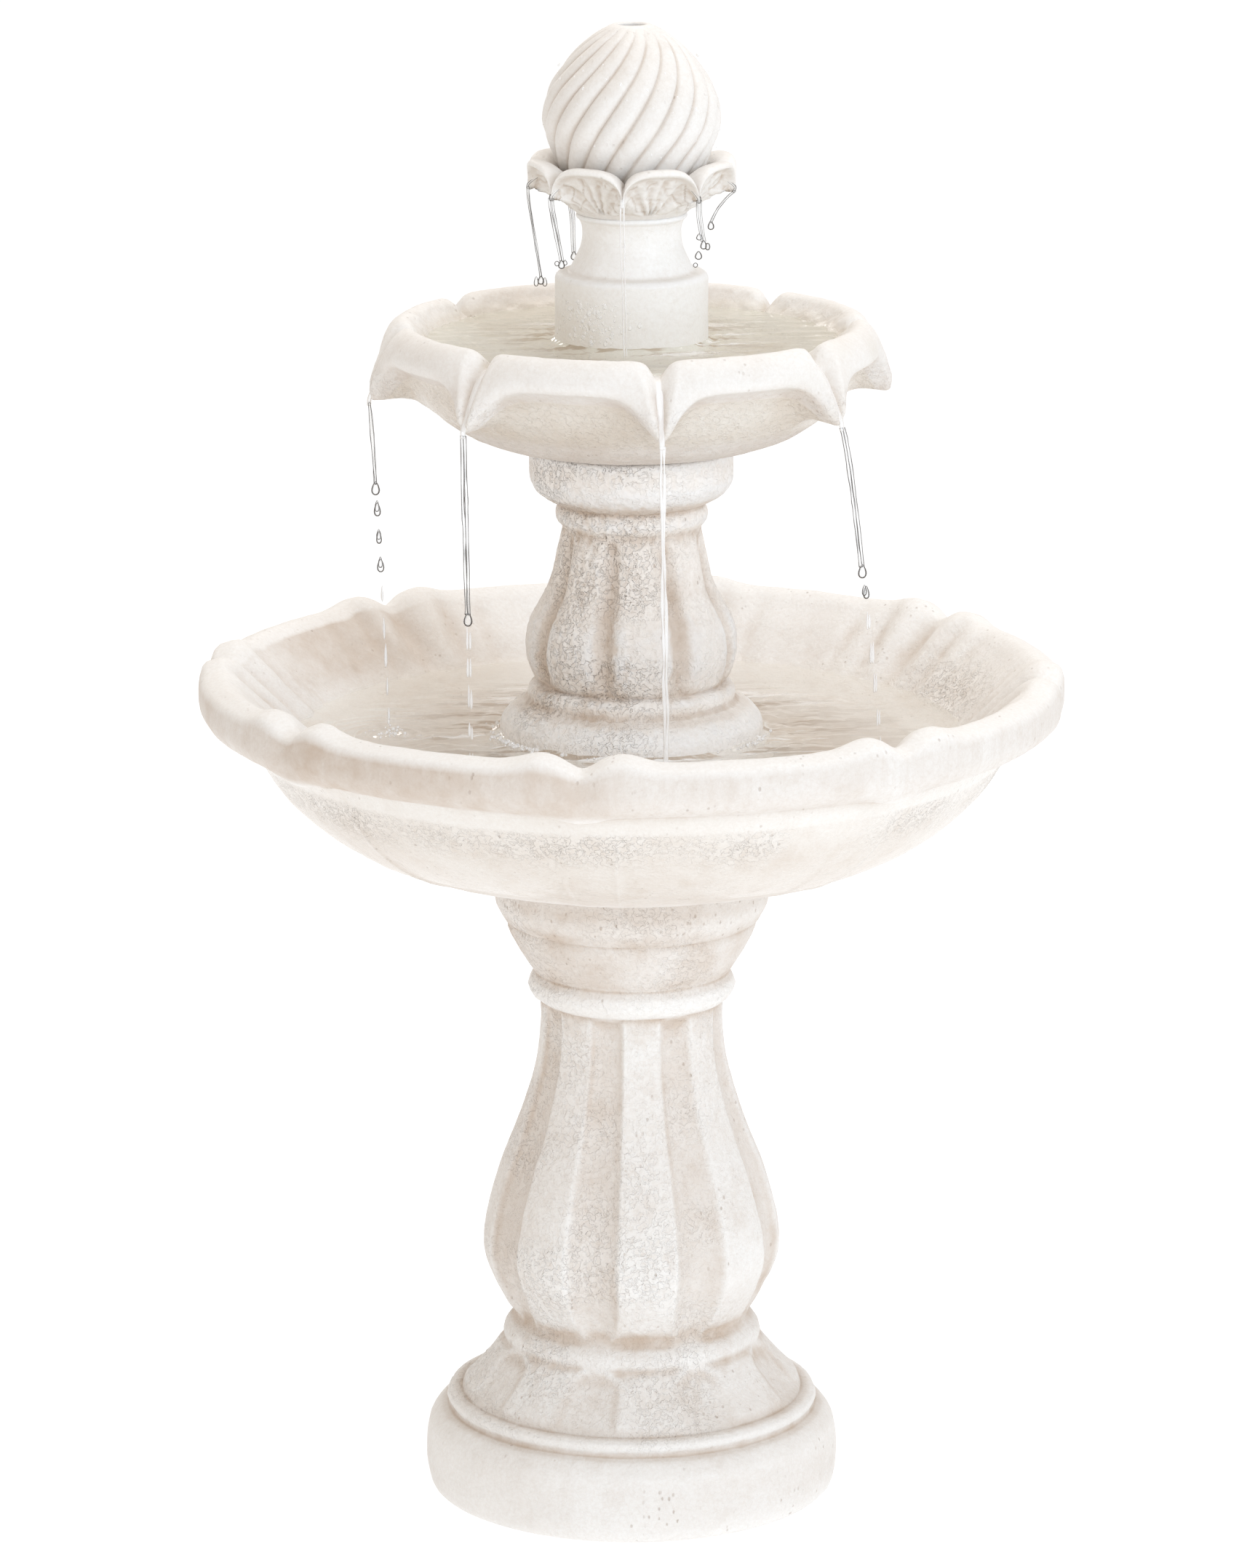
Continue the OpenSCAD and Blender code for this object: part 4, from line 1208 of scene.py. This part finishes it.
def moulded(name, colour, roughness, grain, strength, lime_colour):
    """Moulded plastic or rubber with a fine grain, uneven gloss and a little settled lime."""
    n = Nodes(name)
    cloud = n.noise(60, 4, 0.6)
    lime = n.ramp(n.noise(140, 5, 0.7), 0.6, 0.78)
    base = n.mix(n.ramp(cloud, 0.3, 0.7, 0.0, 0.5), colour, tuple(1.25 * c + 0.01 for c in colour))
    base = n.mix(n.times(lime, 0.35), base, lime_colour)
    n.set(Base_Color=base, Roughness=n.ramp(cloud, 0.3, 0.7, roughness - 0.08, roughness + 0.08))
    n.bump((n.noise(grain, 2, 0.5), strength, 0.0002), (cloud, 0.1, 0.0005))
    return n.material


def lined(name, axis, scale, distortion, dark, light, metallic, roughness, bump):
    """Metal in fine lines across an axis, as stacked sheets or close turns of wire have."""
    n = Nodes(name)
    sockets = {"Vector": n.place, "Scale": scale, "Distortion": distortion}
    wave = n.add("TexWave", sockets, wave_type="BANDS", bands_direction=axis).outputs["Fac"]
    n.set(Base_Color=n.mix(wave, dark, light), Metallic=metallic, Roughness=roughness)
    n.bump((wave, *bump))
    return n.material


def mottled(name, scale, contrast, dark, light, bump, **finish):
    """Slightly cloudy ceramic or tube; bump is its grain's scale, strength and distance."""
    n = Nodes(name)
    cloud = n.ramp(n.noise(scale, 3), 0.5 - contrast, 0.5 + contrast)
    n.set(Base_Color=n.mix(cloud, dark, light), **finish)
    n.bump((n.noise(bump[0], 2), *bump[1:]))
    return n.material


def dress_nodes():
    """Gives each CAD node that stays in view its own material."""
    looks = {
        moulded("pump_plastic", (0.025, 0.027, 0.032), 0.42, 1400, 0.35, (0.35, 0.33, 0.30)): [
            "pump_body", "motor_end_cover", "volute_cover", "intake_cover", "flow_dial"],
        moulded("black_rubber", (0.018, 0.018, 0.02), 0.7, 800, 0.25, (0.30, 0.28, 0.26)): [
            "basin_seal", "cord_gland", "drain_plug", "suction_feet", "rear_bushing", "front_bushing",
            "volute_seal", "hose_grommet", "bowl_gasket", "fitting_washer"],
        moulded("rotor_plastic", (0.62, 0.63, 0.65), 0.38, 1200, 0.2, (0.45, 0.40, 0.33)): ["impeller"],
        moulded("fitting_plastic", (0.20, 0.20, 0.21), 0.45, 1300, 0.3, (0.5, 0.47, 0.43)): [
            "bowl_fitting", "fitting_nut", "outlet_nozzle"],
        moulded("rotor_magnet_ferrite", (0.045, 0.045, 0.05), 0.5, 700, 0.3, (0.12, 0.08, 0.05)): [
            "rotor_magnet"],
        lined("core_steel", "Y", 320, 0.3, (0.28, 0.27, 0.26), (0.55, 0.55, 0.56), 1.0, 0.42,
              (0.4, 0.0003)): ["stator_core"],
        lined("copper_winding", "X", 400, 0.0, (0.28, 0.10, 0.04), (0.75, 0.34, 0.16), 0.9, 0.3,
              (0.8, 0.0004)): ["stator_coils"],
        mottled("shaft_ceramic", 300, 0.1, (0.86, 0.86, 0.83), (0.93, 0.93, 0.91), (900, 0.05, 0.0001),
                Roughness=0.12): ["rotor_shaft"],
        mottled("clear_tubing", 80, 0.15, (0.70, 0.76, 0.76), (0.84, 0.87, 0.86), (220, 0.08, 0.0003),
                Roughness=0.25, Transmission_Weight=0.55, IOR=1.45): ["riser_hose", "riser_tube"],
    }
    for material, names in looks.items():
        for name in names:
            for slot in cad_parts[name].material_slots:
                slot.material = material


make_camera()
make_studio()
make_castings()
make_pools(
    water_material("basin_pool", (0.98, 0.965, 0.93), (0.98, 0.975, 0.96)),
    water_material("bowl_pool", (0.93, 0.93, 0.885), (0.89, 0.89, 0.84)),
)
make_streams(
    # The threads' dark edges, the bright water's white and the beads' light edges are painted
    # reflections and highlights.
    thin_water_material("stream_water", (0.06, 0.048, 0.04), 0.16),
    thin_water_material("bright_water", (0.80, 0.77, 0.74), 0.5),
    thin_water_material("bead_water", (0.86, 0.85, 0.84), 0.25),
)
dress_nodes()
